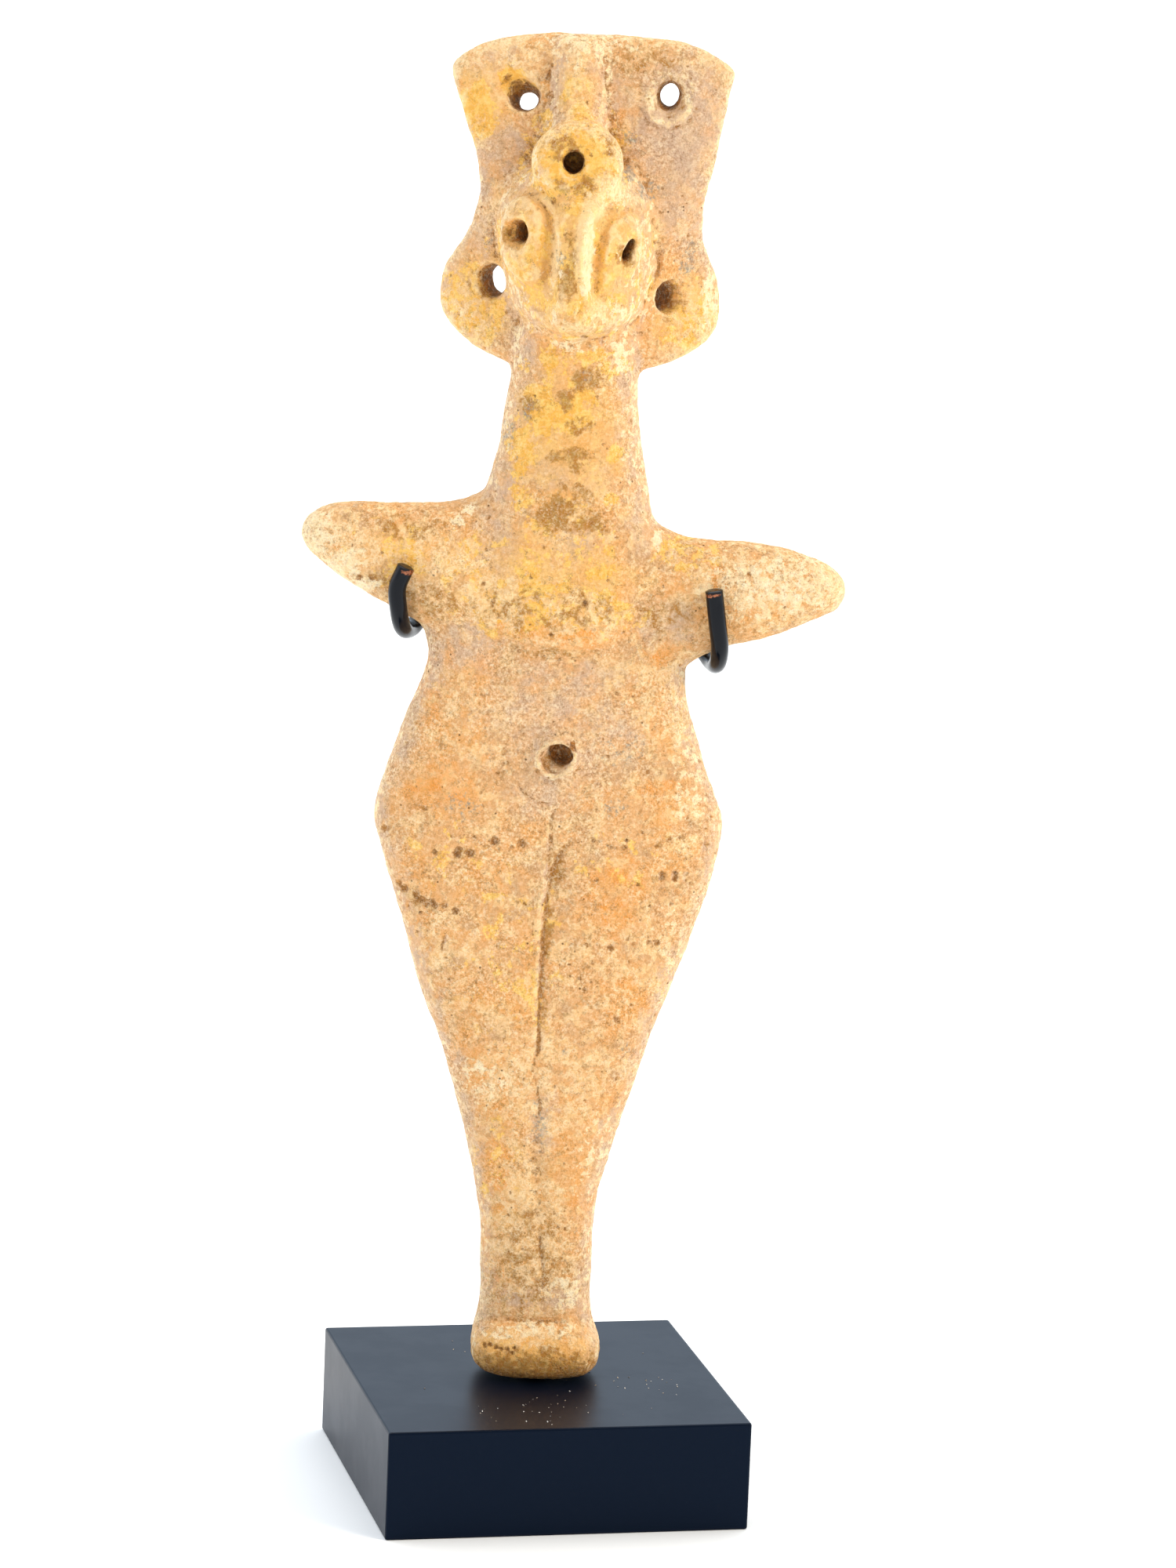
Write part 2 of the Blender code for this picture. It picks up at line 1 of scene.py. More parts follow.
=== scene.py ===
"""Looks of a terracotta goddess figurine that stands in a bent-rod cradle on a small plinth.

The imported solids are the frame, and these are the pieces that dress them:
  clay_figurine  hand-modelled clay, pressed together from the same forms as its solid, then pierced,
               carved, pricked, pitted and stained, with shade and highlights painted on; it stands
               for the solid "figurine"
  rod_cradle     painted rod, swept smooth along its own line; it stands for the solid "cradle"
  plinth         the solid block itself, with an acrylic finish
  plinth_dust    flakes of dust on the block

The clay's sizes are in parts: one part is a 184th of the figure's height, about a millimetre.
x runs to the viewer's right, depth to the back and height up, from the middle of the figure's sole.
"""

import json
import logging
import math
from dataclasses import dataclass
from enum import Enum
from typing import Any, Iterable, Iterator

import bmesh
import bpy
import numpy as np
from mathutils import Matrix, Vector
from mathutils.bvhtree import BVHTree

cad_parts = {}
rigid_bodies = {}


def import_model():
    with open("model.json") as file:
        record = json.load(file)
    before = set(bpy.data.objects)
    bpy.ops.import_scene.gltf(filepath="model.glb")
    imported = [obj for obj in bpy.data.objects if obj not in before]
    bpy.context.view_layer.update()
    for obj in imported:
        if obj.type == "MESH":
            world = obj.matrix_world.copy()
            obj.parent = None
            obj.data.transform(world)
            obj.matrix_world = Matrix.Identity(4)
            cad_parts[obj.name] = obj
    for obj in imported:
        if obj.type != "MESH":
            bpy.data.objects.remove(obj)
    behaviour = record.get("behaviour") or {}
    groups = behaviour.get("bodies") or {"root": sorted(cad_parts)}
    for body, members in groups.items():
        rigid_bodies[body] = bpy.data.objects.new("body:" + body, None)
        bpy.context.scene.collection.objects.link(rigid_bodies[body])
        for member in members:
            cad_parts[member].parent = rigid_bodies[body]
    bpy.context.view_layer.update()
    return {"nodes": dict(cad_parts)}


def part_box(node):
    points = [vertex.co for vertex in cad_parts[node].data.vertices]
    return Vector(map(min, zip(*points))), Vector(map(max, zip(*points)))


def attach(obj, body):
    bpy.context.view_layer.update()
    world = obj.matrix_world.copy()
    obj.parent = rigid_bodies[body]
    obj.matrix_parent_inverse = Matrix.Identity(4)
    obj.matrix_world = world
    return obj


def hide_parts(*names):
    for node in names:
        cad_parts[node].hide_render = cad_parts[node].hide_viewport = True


for new_file_object in list(bpy.data.objects):
    bpy.data.objects.remove(new_file_object)
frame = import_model()

LOG = logging.getLogger("figurine on its stand")

Row = tuple[float, ...]
Rows = tuple[Row, ...]

# Sockets of a Mix node that mixes colours, and the seed's socket of a Random Value node
MIX_AMOUNT, MIX_UNDER, MIX_OVER, MIX_RESULT = 0, 6, 7, 2
RANDOM_SEED = 8

MM_PER_METRE = 1000.0


def linear(hex_colour: str) -> tuple[float, float, float, float]:
    """Turn an sRGB hex colour into the linear values that a shader takes.

    Args:
        hex_colour: a colour such as "#E2B57F".

    Returns:
        Linear red, green and blue, and an alpha of 1.
    """
    shares = (int(hex_colour[i : i + 2], 16) / 255 for i in (1, 3, 5))
    red, green, blue = (s / 12.92 if s <= 0.04045 else ((s + 0.055) / 1.055) ** 2.4 for s in shares)
    return red, green, blue, 1.0


def add_object(name: str, data: Any) -> bpy.types.Object:
    """Put a new object with its mesh, lamp or camera in the scene.

    Args:
        name: the object's name.
        data: its mesh, lamp or camera.

    Returns:
        The object.
    """
    made = bpy.data.objects.new(name, data)
    bpy.context.scene.collection.objects.link(made)
    return made


def object_from(bm: bmesh.types.BMesh, name: str) -> bpy.types.Object:
    """Close a bmesh into a named object in the scene, with its faces pointing out.

    Args:
        bm: the bmesh, which is freed.
        name: the object's name.

    Returns:
        The object.
    """
    bmesh.ops.recalc_face_normals(bm, faces=bm.faces)
    mesh = bpy.data.meshes.new(name)
    bm.to_mesh(mesh)
    bm.free()
    return add_object(name, mesh)


def bare_points(name: str, points: list[Vector], edges: Iterable[tuple[int, int]] = ()) -> bpy.types.Object:
    """An object of points alone, joined by edges where there are any.

    Args:
        name: the object's name.
        points: their places.
        edges: the numbers of the two points that each edge joins.

    Returns:
        The object.
    """
    mesh = bpy.data.meshes.new(name)
    mesh.from_pydata(points, list(edges), [])
    return add_object(name, mesh)


def made_plain(source: bpy.types.Object, name: str) -> bpy.types.Object:
    """Turn an object into a plain mesh, as its modifiers leave it.

    Args:
        source: the object, which is removed.
        name: the plain mesh object's name.

    Returns:
        The plain mesh object, at the origin.
    """
    depsgraph = bpy.context.evaluated_depsgraph_get()
    mesh = bpy.data.meshes.new_from_object(source.evaluated_get(depsgraph), depsgraph=depsgraph)
    bpy.data.objects.remove(source)
    mesh.name = name
    return add_object(name, mesh)


class Joining(Enum):
    """What an exact Boolean does with its tool; each value is Blender's own name for it."""

    CUT = "DIFFERENCE"
    MERGE = "UNION"


def join(target: bpy.types.Object, tool: bpy.types.Object, joining: Joining) -> None:
    """Give the target a modifier that cuts the tool's shape out of it or merges it in.

    Args:
        target: the object that changes.
        tool: the object that changes it.
        joining: whether the tool is cut out or merged in.
    """
    exact = target.modifiers.new(joining.name, "BOOLEAN")
    exact.operation = joining.value
    exact.solver = "EXACT"
    exact.object = tool


def points_of(mesh: bpy.types.Mesh) -> np.ndarray:
    """The mesh's points as a table.

    Args:
        mesh: any mesh.

    Returns:
        A row of x, y and z for each point.
    """
    points = np.empty(len(mesh.vertices) * 3)
    mesh.vertices.foreach_get("co", points)
    return points.reshape(-1, 3)


def store(mesh: bpy.types.Mesh, name: str, amounts: Iterable[float]) -> None:
    """Store a number for each of the mesh's points under a name."""
    attribute = mesh.attributes.new(name, "FLOAT", "POINT")
    attribute.data.foreach_set("value", np.asarray(amounts, dtype=np.float32))


def smooth_rows(rows: Iterable[Iterable[float]], step: float) -> list[np.ndarray]:
    """Rows on one smooth curve through the given rows.

    Args:
        rows: rows of numbers; the first one rises from row to row.
        step: about how far apart the new rows are in their first number.

    Returns:
        The new rows, from the first given row to the last.
    """
    table = np.array([tuple(row) for row in rows], dtype=float)
    slopes = np.gradient(table, table[:, 0], axis=0)
    found = []
    for low, high, slope_low, slope_high in zip(table, table[1:], slopes, slopes[1:]):
        span = high[0] - low[0]
        count = max(1, round(abs(span) / step))
        for t in np.arange(count) / count:
            found.append(
                (2 * t**3 - 3 * t**2 + 1) * low
                + (t**3 - 2 * t**2 + t) * span * slope_low
                + (3 * t**2 - 2 * t**3) * high
                + (t**3 - t**2) * span * slope_high
            )
    found.append(table[-1])
    return found


def rows_along(rows: Iterable[Iterable[float]], step: float, axes: int = 2) -> np.ndarray:
    """Rows on one smooth line whose first numbers are its place.

    Args:
        rows: rows that start with a place of as many numbers as axes.
        step: about how far apart the new rows are along the line.
        axes: how many numbers give the place.

    Returns:
        The new rows as a table.
    """
    table = np.array([tuple(row) for row in rows], dtype=float)
    steps = np.linalg.norm(np.diff(table[:, :axes], axis=0), axis=1)
    lengths = np.concatenate(([0.0], np.cumsum(steps)))
    return np.array(smooth_rows(np.column_stack((lengths, table)), step))[:, 1:]


def aimed(middle: Row, turn: float, pitch: float, tilt: float) -> Matrix:
    """A place turned by so many degrees: to the side, then up or down, then in its own plane.

    Args:
        middle: the place.
        turn: degrees to the side.
        pitch: degrees up or down.
        tilt: degrees in its own plane.

    Returns:
        The place and its turns as one matrix.
    """
    place = Matrix.Translation(middle)
    for angle, axis in ((turn, "Z"), (pitch, "X"), (tilt, "Y")):
        place = place @ Matrix.Rotation(math.radians(angle), 4, axis)
    return place


def oval(place: Matrix, half_width: float, half_height: float, along: float, sides: int) -> list[Vector]:
    """Points round an oval across a place's own Y axis, so far along it."""
    turns = (math.tau * i / sides for i in range(sides))
    return [place @ Vector((half_width * math.cos(t), along, half_height * math.sin(t))) for t in turns]


def rounded_section(
    half: float, front: float, back: float, squareness: float, sides: int
) -> Iterator[tuple[float, float]]:
    """Points across and deep round a superellipse, with its own depth to the front and the back.

    Args:
        half: its half width.
        front: its depth to the front.
        back: its depth to the back.
        squareness: 2 for an ellipse, more for a squarer section.
        sides: how many points it has.

    Returns:
        How far across and how deep each point lies.
    """
    for i in range(sides):
        turn = math.tau * i / sides
        across = math.copysign(abs(math.cos(turn)) ** (2 / squareness), math.cos(turn))
        deep = math.copysign(abs(math.sin(turn)) ** (2 / squareness), math.sin(turn))
        yield half * across, deep * (back if deep > 0 else front)


def skin(bm: bmesh.types.BMesh, rings: Iterable[Iterable[Vector]]) -> None:
    """Bridge rings of points into one closed tube with flat ends.

    Args:
        bm: the bmesh that the tube goes in.
        rings: rings of as many points each.
    """
    loops = [[bm.verts.new(point) for point in ring] for ring in rings]
    for low, high in zip(loops, loops[1:]):
        for i in range(len(low)):
            j = (i + 1) % len(low)
            bm.faces.new((low[i], low[j], high[j], high[i]))
    bm.faces.new(loops[0])
    bm.faces.new(loops[-1])


# One fixed lattice of random numbers, so that the clay is uneven in the same way each run
LATTICE_SIZE = 32
LATTICE_SEED = 184
LATTICE = np.random.default_rng(LATTICE_SEED).random((LATTICE_SIZE,) * 3)


def unevenness(points: np.ndarray, size: float, shift: float = 0.0) -> np.ndarray:
    """Smooth unevenness over points, the same each run.

    Args:
        points: a table of places.
        size: about how far apart its lumps are.
        shift: another value gives another pattern.

    Returns:
        A number from -1 to 1 for each point.
    """
    at = points / size + shift
    low = np.floor(at).astype(int)
    share = at - low
    share = share * share * (3 - 2 * share)
    total = np.zeros(len(points))
    for corner in np.ndindex(2, 2, 2):
        weight = np.prod(np.where(corner, share, 1 - share), axis=1)
        cell = (low + corner) % LATTICE_SIZE
        total += LATTICE[cell[:, 0], cell[:, 1], cell[:, 2]] * weight
    return 2 * total - 1


def eased(values: np.ndarray, low: float, high: float) -> np.ndarray:
    """0 below low, 1 above high and a smooth step between them."""
    share = np.clip((values - low) / (high - low), 0, 1)
    return share * share * (3 - 2 * share)


class Stain(Enum):
    """What use and burial have left on the clay, and the shade and highlights painted on it; each value
    names an attribute of its mesh.
    """

    GOLD = "golden clay"
    YELLOW = "yellow deposit"
    BROWN = "brown stain"
    PINK_AND_SIDE_LIGHT = "pink clay"
    BLUE = "blue grey smudge"
    CRUST_AND_SIDE_LIGHT = "pale crust"
    ORANGE = "orange blush"
    FLAKY = "flaking slip"
    SHADE_AND_DIRT = "dirt in hollows"
    SHADE_IN_HOLES = "dark inside holes"
    WEAR_AND_HIGHLIGHT = "worn edges"


@dataclass(frozen=True)
class Gathering:
    """How a stain gathers where a measure of the clay's shape is high: its range and its share."""

    low: float
    high: float
    share: float

    def amount(self, measure: np.ndarray) -> np.ndarray:
        """How much of the stain each point has."""
        return eased(measure, self.low, self.high) * self.share


@dataclass(frozen=True)
class Stroke:
    """A line drawn in the clay: x, height, half width and depth at points along it.

    A negative depth is a raised line. ragged is how far its edge wanders, as a share of its width.
    """

    rows: Rows
    ragged: float = 0.2


@dataclass(frozen=True)
class Dab:
    """A single press of a fingertip or tool: its place, half width, half height, depth and tilt."""

    x: float
    height: float
    half_width: float
    half_height: float
    depth: float
    tilt: float = 0.0


@dataclass(frozen=True)
class Ring:
    """A round line: its middle, radii across and up, half width and depth, as a stroke's."""

    x: float
    height: float
    across: float
    up: float
    half_width: float
    depth: float
    steps: int = 25

    def stroke(self) -> Stroke:
        """The same ring as a stroke that closes on itself.

        Returns:
            The stroke.
        """
        rows = []
        for turn in np.linspace(0.0, math.tau, self.steps):
            x, height = self.x + self.across * math.cos(turn), self.height + self.up * math.sin(turn)
            rows.append((x, height, self.half_width, self.depth))
        return Stroke(tuple(rows))


@dataclass(frozen=True)
class Pellet:
    """A flattened round of clay, pressed on: place, sizes, and its turns in degrees."""

    middle: Row
    half_width: float
    half_height: float
    thickness: float
    turn: float = 0.0
    tilt: float = 0.0
    pitch: float = 0.0
    sides: int = 48

    # From its back to its face: share of the thickness and share of the width
    PROFILE = ((0, 0.8), (0, 0.94), (0.3, 1), (0.62, 0.95), (0.85, 0.78), (0.96, 0.5), (1, 0.2))

    def rings(self) -> Iterator[list[Vector]]:
        """Rings from its back to its rounded face.

        Returns:
            Rings of points.
        """
        place = aimed(self.middle, self.turn, self.pitch, self.tilt)
        for share, radius in self.PROFILE:
            half_width, half_height = self.half_width * radius, self.half_height * radius
            yield oval(place, half_width, half_height, -share * self.thickness, self.sides)


@dataclass(frozen=True)
class Hole:
    """A hole left by a round stick: mouth, its turns in degrees, flare, bore and depth."""

    mouth: Row
    turn: float
    mouth_radius: float
    mouth_depth: float
    half_width: float
    half_height: float
    depth: float
    tilt: float = 0.0
    pitch: float = 0.0
    sides: int = 28

    # How far in front of the mouth the stick starts, and how far round it and below it painted shade lies
    START = 2.5
    SHADE_AROUND = 0.4
    SHADE_BELOW = 0.6
    # How deep in the hole its painted shade starts and is darkest
    DARKENING = (0.1, 2.4)

    def place(self) -> Matrix:
        """Where the stick stands: its mouth at the origin and its length along Y."""
        return aimed(self.mouth, self.turn, self.pitch, self.tilt)

    def rings(self) -> Iterator[list[Vector]]:
        """Rings from in front of the clay to the hole's bottom.

        Returns:
            Rings of points.
        """
        place = self.place()
        flare = (self.mouth_radius - self.half_width) / self.mouth_depth * (self.mouth_depth + self.START)
        for along, extra in ((-self.START, flare), (self.mouth_depth, 0.0), (self.depth, 0.0)):
            yield oval(place, self.half_width + extra, self.half_height + extra, along, self.sides)

    def darkness(self, points: np.ndarray) -> np.ndarray:
        """How deep in the hole each point is: 0 at its mouth and outside, 1 where no light gets in.

        Args:
            points: a table of places.

        Returns:
            A number from 0 to 1 for each point.
        """
        local = np.column_stack((points, np.ones(len(points)))) @ np.array(self.place().inverted()).T
        along = local[:, 1]
        flare = (self.mouth_radius - self.half_width) * np.clip(1 - along / self.mouth_depth, 0, 1)
        flare = flare + self.SHADE_AROUND
        radius = np.hypot(local[:, 0] / (self.half_width + flare), local[:, 2] / (self.half_height + flare))
        inside = (radius < 1) & (along < self.depth + self.SHADE_BELOW)
        return inside * eased(along, *self.DARKENING)


class ClayForms:
    """The tables of the figure's forms, in parts, as its solid has them."""

    # Feet, legs, trunk and neck: height, left edge, right edge, front depth, back depth, squareness
    TRUNK: Rows = (
        (0, -7.3, 7.2, 6.2, 4, 3), (0.8, -8.4, 8.2, 7.4, 4.8, 3.1), (2.2, -9, 8.8, 8, 5.2, 3.2),
        (4.2, -9, 8.8, 7.9, 5.3, 3.1), (6, -8.6, 8.2, 6.7, 5.3, 2.9), (7.8, -8.1, 7.5, 5.2, 5.2, 2.6),
        (10, -7.9, 7.2, 5, 5.1, 2.5), (16, -8.1, 7.1, 5, 5, 2.4), (22.5, -8.5, 7.4, 5.1, 5.2, 2.4),
        (31, -10.4, 9.3, 5.4, 5.5, 2.4), (42, -13.5, 12.3, 5.8, 6, 2.5), (53, -17.6, 15.8, 6.1, 6.4, 2.6),
        (64, -21, 19.7, 6.4, 6.9, 2.6), (72.5, -23.9, 21.8, 6.6, 7.3, 2.6), (78, -25, 22.7, 6.7, 7.4, 2.6),
        (83, -23.9, 21.1, 6.5, 7, 2.6), (90, -21.4, 18.6, 6.2, 6.2, 2.6),
        (96.5, -19.1, 16.8, 5.9, 5.6, 2.6), (100, -18.2, 16.6, 5.9, 5.5, 2.6),
        (103, -18.8, 17.4, 5.9, 5.5, 2.6), (110, -15.2, 14.8, 6.2, 5.8, 2.5),
        (117, -12.4, 12.4, 6.4, 6.2, 2.3), (123, -11.2, 10.8, 6.4, 6.4, 2.2),
        (130, -9.5, 9.4, 6.5, 6.5, 2.1), (138, -8.6, 8.6, 6.7, 6.4, 2.1), (144, -8.2, 8.4, 6.6, 5.4, 2.1),
        (150, -5.8, 6.2, 5.6, 4.2, 2.1),
    )
    # Head plate, from the ear lobes to the top of the headdress, and the forms in front of it
    HEAD_PLATE: Rows = (
        (139.6, -8.6, 10.2, 1.6, 1.6, 2.4), (141.4, -12.7, 14.8, 2.4, 2.3, 2.6),
        (144.2, -16.9, 18.5, 2.8, 2.7, 2.8), (148.6, -18.8, 19.5, 2.9, 2.8, 2.8),
        (152.2, -18.2, 18.8, 2.9, 2.8, 2.8), (157, -15.3, 16.9, 2.8, 2.7, 2.8),
        (161.5, -13.8, 16.6, 2.8, 2.7, 2.8), (166.5, -14, 17.6, 2.8, 2.7, 2.8),
        (172.5, -16.2, 18.7, 2.7, 2.6, 2.8), (178.2, -18, 19.8, 2.6, 2.5, 2.8),
        (179.4, -18.1, 20.2, 2.5, 2.4, 2.8), (180.2, -17.2, 19.5, 2.5, 2.4, 2.8),
        (181.5, -15.2, 17.5, 2.4, 2.3, 2.7), (182.6, -12.8, 15.4, 2.2, 2.1, 2.6),
        (183.3, -9.2, 12.8, 1.9, 1.8, 2.5), (183.7, -6.2, 9.4, 1.6, 1.5, 2.4),
        (184.1, -3.4, 5.4, 1, 1, 2.2),
    )
    FACE: Rows = (
        (143.6, -3.4, 3.6, 6.6, 1, 2), (144.8, -6.2, 6.2, 9.4, 1, 2), (147, -8.2, 8.2, 10.8, 1, 2),
        (150.5, -9.6, 9.4, 10.6, 1, 1.9), (155, -10.6, 10, 9.9, 1, 1.9), (159.5, -11.2, 9.9, 9.4, 1, 1.9),
        (163, -10.4, 9.2, 8.6, 1, 1.9), (166.5, -7.4, 7, 7, 1, 2),
    )
    BEAK: Rows = (
        (144.2, -2.8, 2.8, 9.6, 1, 2.6), (146.2, -4.4, 3.9, 12, 1, 2.8), (149.5, -3.9, 3, 13.2, 1, 3),
        (154, -3.2, 2.2, 12.9, 1, 3), (158.5, -3.3, 2.6, 12, 1, 3), (162, -4.2, 4.2, 10.6, 1, 2.8),
        (164.5, -4.6, 4.8, 9, 1, 2.6),
    )
    CREST: Rows = (
        (166, -5.4, 3.8, 6.4, 1, 2), (170, -5.4, 3.7, 6.2, 1, 2), (173, -5.2, 3.4, 4.9, 1, 2),
        (176, -4.6, 2.9, 4, 1, 2), (179, -4.1, 2.5, 3.4, 1, 2), (182.6, -4, 2.2, 2.4, 1, 2),
        (184, -3.2, 1.6, 1.2, 1, 2),
    )
    COLLAR: Rows = (
        (101, -2.6, 4, 5.6, 1, 2.3), (102, -6.4, 7.6, 6.8, 1, 2.4), (105, -10.6, 11.4, 7.1, 1, 2.5),
        (110, -13.4, 13.8, 7.2, 1, 2.5), (116, -13, 13.2, 7.2, 1, 2.4), (122, -10.2, 10.2, 6.9, 1, 2.3),
        (126, -8.6, 8.6, 6.4, 1, 2.2),
    )
    # Stub arms: distance from the middle, top edge, bottom edge, front depth, back depth
    LEFT_ARM: Rows = (
        (9, 123.4, 100, 5.6, 5.2), (12.2, 122.1, 100.6, 5.6, 5.2), (15, 121, 101.4, 5.5, 5.2),
        (20, 120.6, 104.2, 5.3, 5), (24, 120.3, 106.4, 5, 4.8), (28, 120.2, 108.7, 4.6, 4.5),
        (31.5, 119.8, 110.6, 3.9, 3.9), (34, 118.8, 112.5, 2.9, 2.9), (35.6, 117.3, 114, 1.6, 1.6),
        (36, 116.4, 115.2, 0.6, 0.6),
    )
    RIGHT_ARM: Rows = (
        (9, 121.2, 97.6, 5.6, 5.2), (12, 119.2, 98, 5.6, 5.2), (15, 117.6, 98.8, 5.5, 5.2),
        (20, 117.1, 101.5, 5.3, 5), (24, 117, 102.9, 5.1, 4.9), (28, 116.5, 104.1, 4.7, 4.6),
        (32.5, 115.3, 105.9, 4.1, 4.1), (35.6, 114, 107.3, 3.2, 3.2), (37.4, 112.5, 108.7, 2, 2),
        (38, 111.4, 110, 0.8, 0.8),
    )
    ARM_SQUARENESS = 2.2
    STEP = 0.8
    SIDES = 64

    # The head plate leans back above its foot, and its ear lobes sweep further back
    PLATE_FOOT = 139.6
    PLATE_LEAN = 0.045
    EAR_SWEEP = 5.0
    EAR_REACH = 18.0
    EAR_HEIGHT = 149.0
    EAR_SPREAD = 9.0

    DISC = Pellet((-0.65, -4.4, 167.0), 6.3, 5.8, 4.9, pitch=-14.0)
    LEFT_EYE = Pellet((-6.5, -6.8, 157.2), 4.1, 6.0, 2.4, turn=-36.0, tilt=-13.0)
    RIGHT_EYE = Pellet((4.5, -7.2, 155.8), 3.9, 5.8, 2.4, turn=36.0, tilt=19.0)
    NAVEL_RIM = Pellet((-0.3, -6.0, 87.6), 3.1, 3.0, 1.5)

    def plate_shift(self, x: float, height: float) -> float:
        """How far behind the figure's middle plane the head plate's own middle lies.

        Args:
            x: how far to the right.
            height: how far up.

        Returns:
            The distance, in parts.
        """
        near_ear = math.exp(-(((height - self.EAR_HEIGHT) / self.EAR_SPREAD) ** 2))
        lean = self.PLATE_LEAN * (height - self.PLATE_FOOT)
        return lean + self.EAR_SWEEP * near_ear * (x / self.EAR_REACH) ** 2

    def level_rings(self, rows: Rows, on_plate: bool = False) -> Iterator[list[Vector]]:
        """Rings of a form built up in level sections.

        Args:
            rows: the form's table.
            on_plate: whether the form leans and sweeps back with the head plate.

        Returns:
            Rings of points, from the lowest section up.
        """
        for height, left, right, front, back, squareness in smooth_rows(rows, self.STEP):
            middle, half = (left + right) / 2, (right - left) / 2
            ring = []
            for across, deep in rounded_section(half, front, back, squareness, self.SIDES):
                x = middle + across
                ring.append(Vector((x, deep + (self.plate_shift(x, height) if on_plate else 0.0), height)))
            yield ring

    def arm_rings(self, rows: Rows, side: int) -> Iterator[list[Vector]]:
        """Rings of a stub arm, outwards; side is -1 for the left and 1 for the right.

        Args:
            rows: the arm's table.
            side: -1 for the left and 1 for the right.

        Returns:
            Rings of points, outwards.
        """
        for reach, top, bottom, front, back in smooth_rows(rows, self.STEP):
            middle, half = (top + bottom) / 2, (top - bottom) / 2
            section = rounded_section(half, front, back, self.ARM_SQUARENESS, self.SIDES)
            yield [Vector((side * reach, deep, middle + across)) for across, deep in section]


class ClaySkin:
    """The clay's mesh as tables of points, to press marks in its front and to find its hollows."""

    # How far a point has to face the front to take a mark: not at all at the first, fully at the second
    MARKED: Row = (0.0, 0.35)
    # How far from the middle of a patch it starts to fade and is gone, in its half sizes
    PATCH_EDGE: Row = (0.35, 1.25)
    # How closely a stroke is followed, and how far apart the lumps of its ragged edge are
    STROKE_STEP = 0.3
    RAGGED_SIZE = 1.4

    def __init__(self, mesh: bpy.types.Mesh, front_range: Row = MARKED) -> None:
        """Read the mesh.

        Args:
            mesh: the clay's mesh.
            front_range: how far a point faces the front where it starts to count, and counts fully.
        """
        self.mesh = mesh
        self.front_range = front_range
        self.points = points_of(mesh)
        self.refresh()

    def refresh(self) -> None:
        """Write the points to the mesh and measure which way each one faces."""
        self.mesh.vertices.foreach_set("co", self.points.ravel())
        self.mesh.update()
        normals = np.empty(len(self.points) * 3)
        self.mesh.vertex_normals.foreach_get("vector", normals)
        self.normals = normals.reshape(-1, 3)
        self.front = eased(-self.normals[:, 1], *self.front_range)

    def on_oval(
        self, x: float, height: float, half_width: float, half_height: float, tilt: float
    ) -> tuple[np.ndarray, np.ndarray]:
        """How far across and up each point lies from an oval's middle, in its half sizes.

        Args:
            x: the oval's middle.
            height: the oval's middle.
            half_width: its half width.
            half_height: its half height.
            tilt: its turn in degrees.

        Returns:
            A number across and a number up for each point.
        """
        turn = math.radians(tilt)
        flat_x, flat_z = self.points[:, 0] - x, self.points[:, 2] - height
        across = (flat_x * math.cos(turn) + flat_z * math.sin(turn)) / half_width
        up = (flat_z * math.cos(turn) - flat_x * math.sin(turn)) / half_height
        return across, up

    def patch(
        self, x: float, height: float, half_width: float, half_height: float, tilt: float = 0.0
    ) -> np.ndarray:
        """1 in the middle of an oval patch on the front, falling to 0 past its edge."""
        across, up = self.on_oval(x, height, half_width, half_height, tilt)
        return (1 - eased(np.hypot(across, up), *self.PATCH_EDGE)) * self.front

    def stroke_share(self, rows: np.ndarray, ragged: float) -> tuple[np.ndarray, np.ndarray, np.ndarray]:
        """How near each point that faces the front is to a line.

        Args:
            rows: x, height, half width and depth close together along the line.
            ragged: how far the line's edge wanders, as a share of its width.

        Returns:
            The numbers of the points near it, their share, 1 on the line and 0 at its edge, and the
            depth of the line beside them.
        """
        margin = rows[:, 2].max() * (1 + ragged)
        low, high = rows[:, :2].min(axis=0) - margin, rows[:, :2].max(axis=0) + margin
        flat = self.points[:, (0, 2)]
        near = np.flatnonzero(np.all((flat > low) & (flat < high), axis=1) & (self.front > 0))
        wander = 1 + ragged * unevenness(self.points[near], self.RAGGED_SIZE)
        gaps = np.linalg.norm(flat[near, None] - rows[None, :, :2], axis=2)
        nearest = gaps.argmin(axis=1)
        gap = gaps[np.arange(len(near)), nearest] * wander / rows[nearest, 2]
        return near, np.clip(1 - gap**2, 0, 1) ** 2, rows[nearest, 3]

    def press(self, mark: Stroke | Dab | Ring) -> None:
        """Press one mark straight into the clay's front.

        Args:
            mark: the line, ring or dab.
        """
        if isinstance(mark, Dab):
            across, up = self.on_oval(mark.x, mark.height, mark.half_width, mark.half_height, mark.tilt)
            share = np.clip(1 - across**2 - up**2, 0, 1) ** 2
            self.points[:, 1] += mark.depth * share * self.front
            return
        stroke = mark.stroke() if isinstance(mark, Ring) else mark
        near, share, depth = self.stroke_share(rows_along(stroke.rows, self.STROKE_STEP), stroke.ragged)
        self.points[near, 1] += depth * share * self.front[near]

    def relaxed(self, times: int) -> np.ndarray:
        """The points after being drawn to the middle of their neighbours so many times.

        Args:
            times: how often.

        Returns:
            The new places, as a table; the mesh keeps its own.
        """
        edges = np.empty(len(self.mesh.edges) * 2, dtype=np.int32)
        self.mesh.edges.foreach_get("vertices", edges)
        ends = np.concatenate((edges[0::2], edges[1::2]))
        others = np.concatenate((edges[1::2], edges[0::2]))
        count = np.maximum(np.bincount(ends, minlength=len(self.points)), 1)
        relaxed = self.points.copy()
        for _ in range(times):
            sums = [np.bincount(ends, relaxed[others, axis], len(relaxed)) for axis in range(3)]
            relaxed = 0.5 * relaxed + 0.5 * np.column_stack(sums) / count[:, None]
        return relaxed

    def hollowness(self, times: int) -> np.ndarray:
        """How deep each point lies below its surroundings; below zero on an edge or a ridge."""
        return np.einsum("ij,ij->i", self.relaxed(times) - self.points, self.normals)


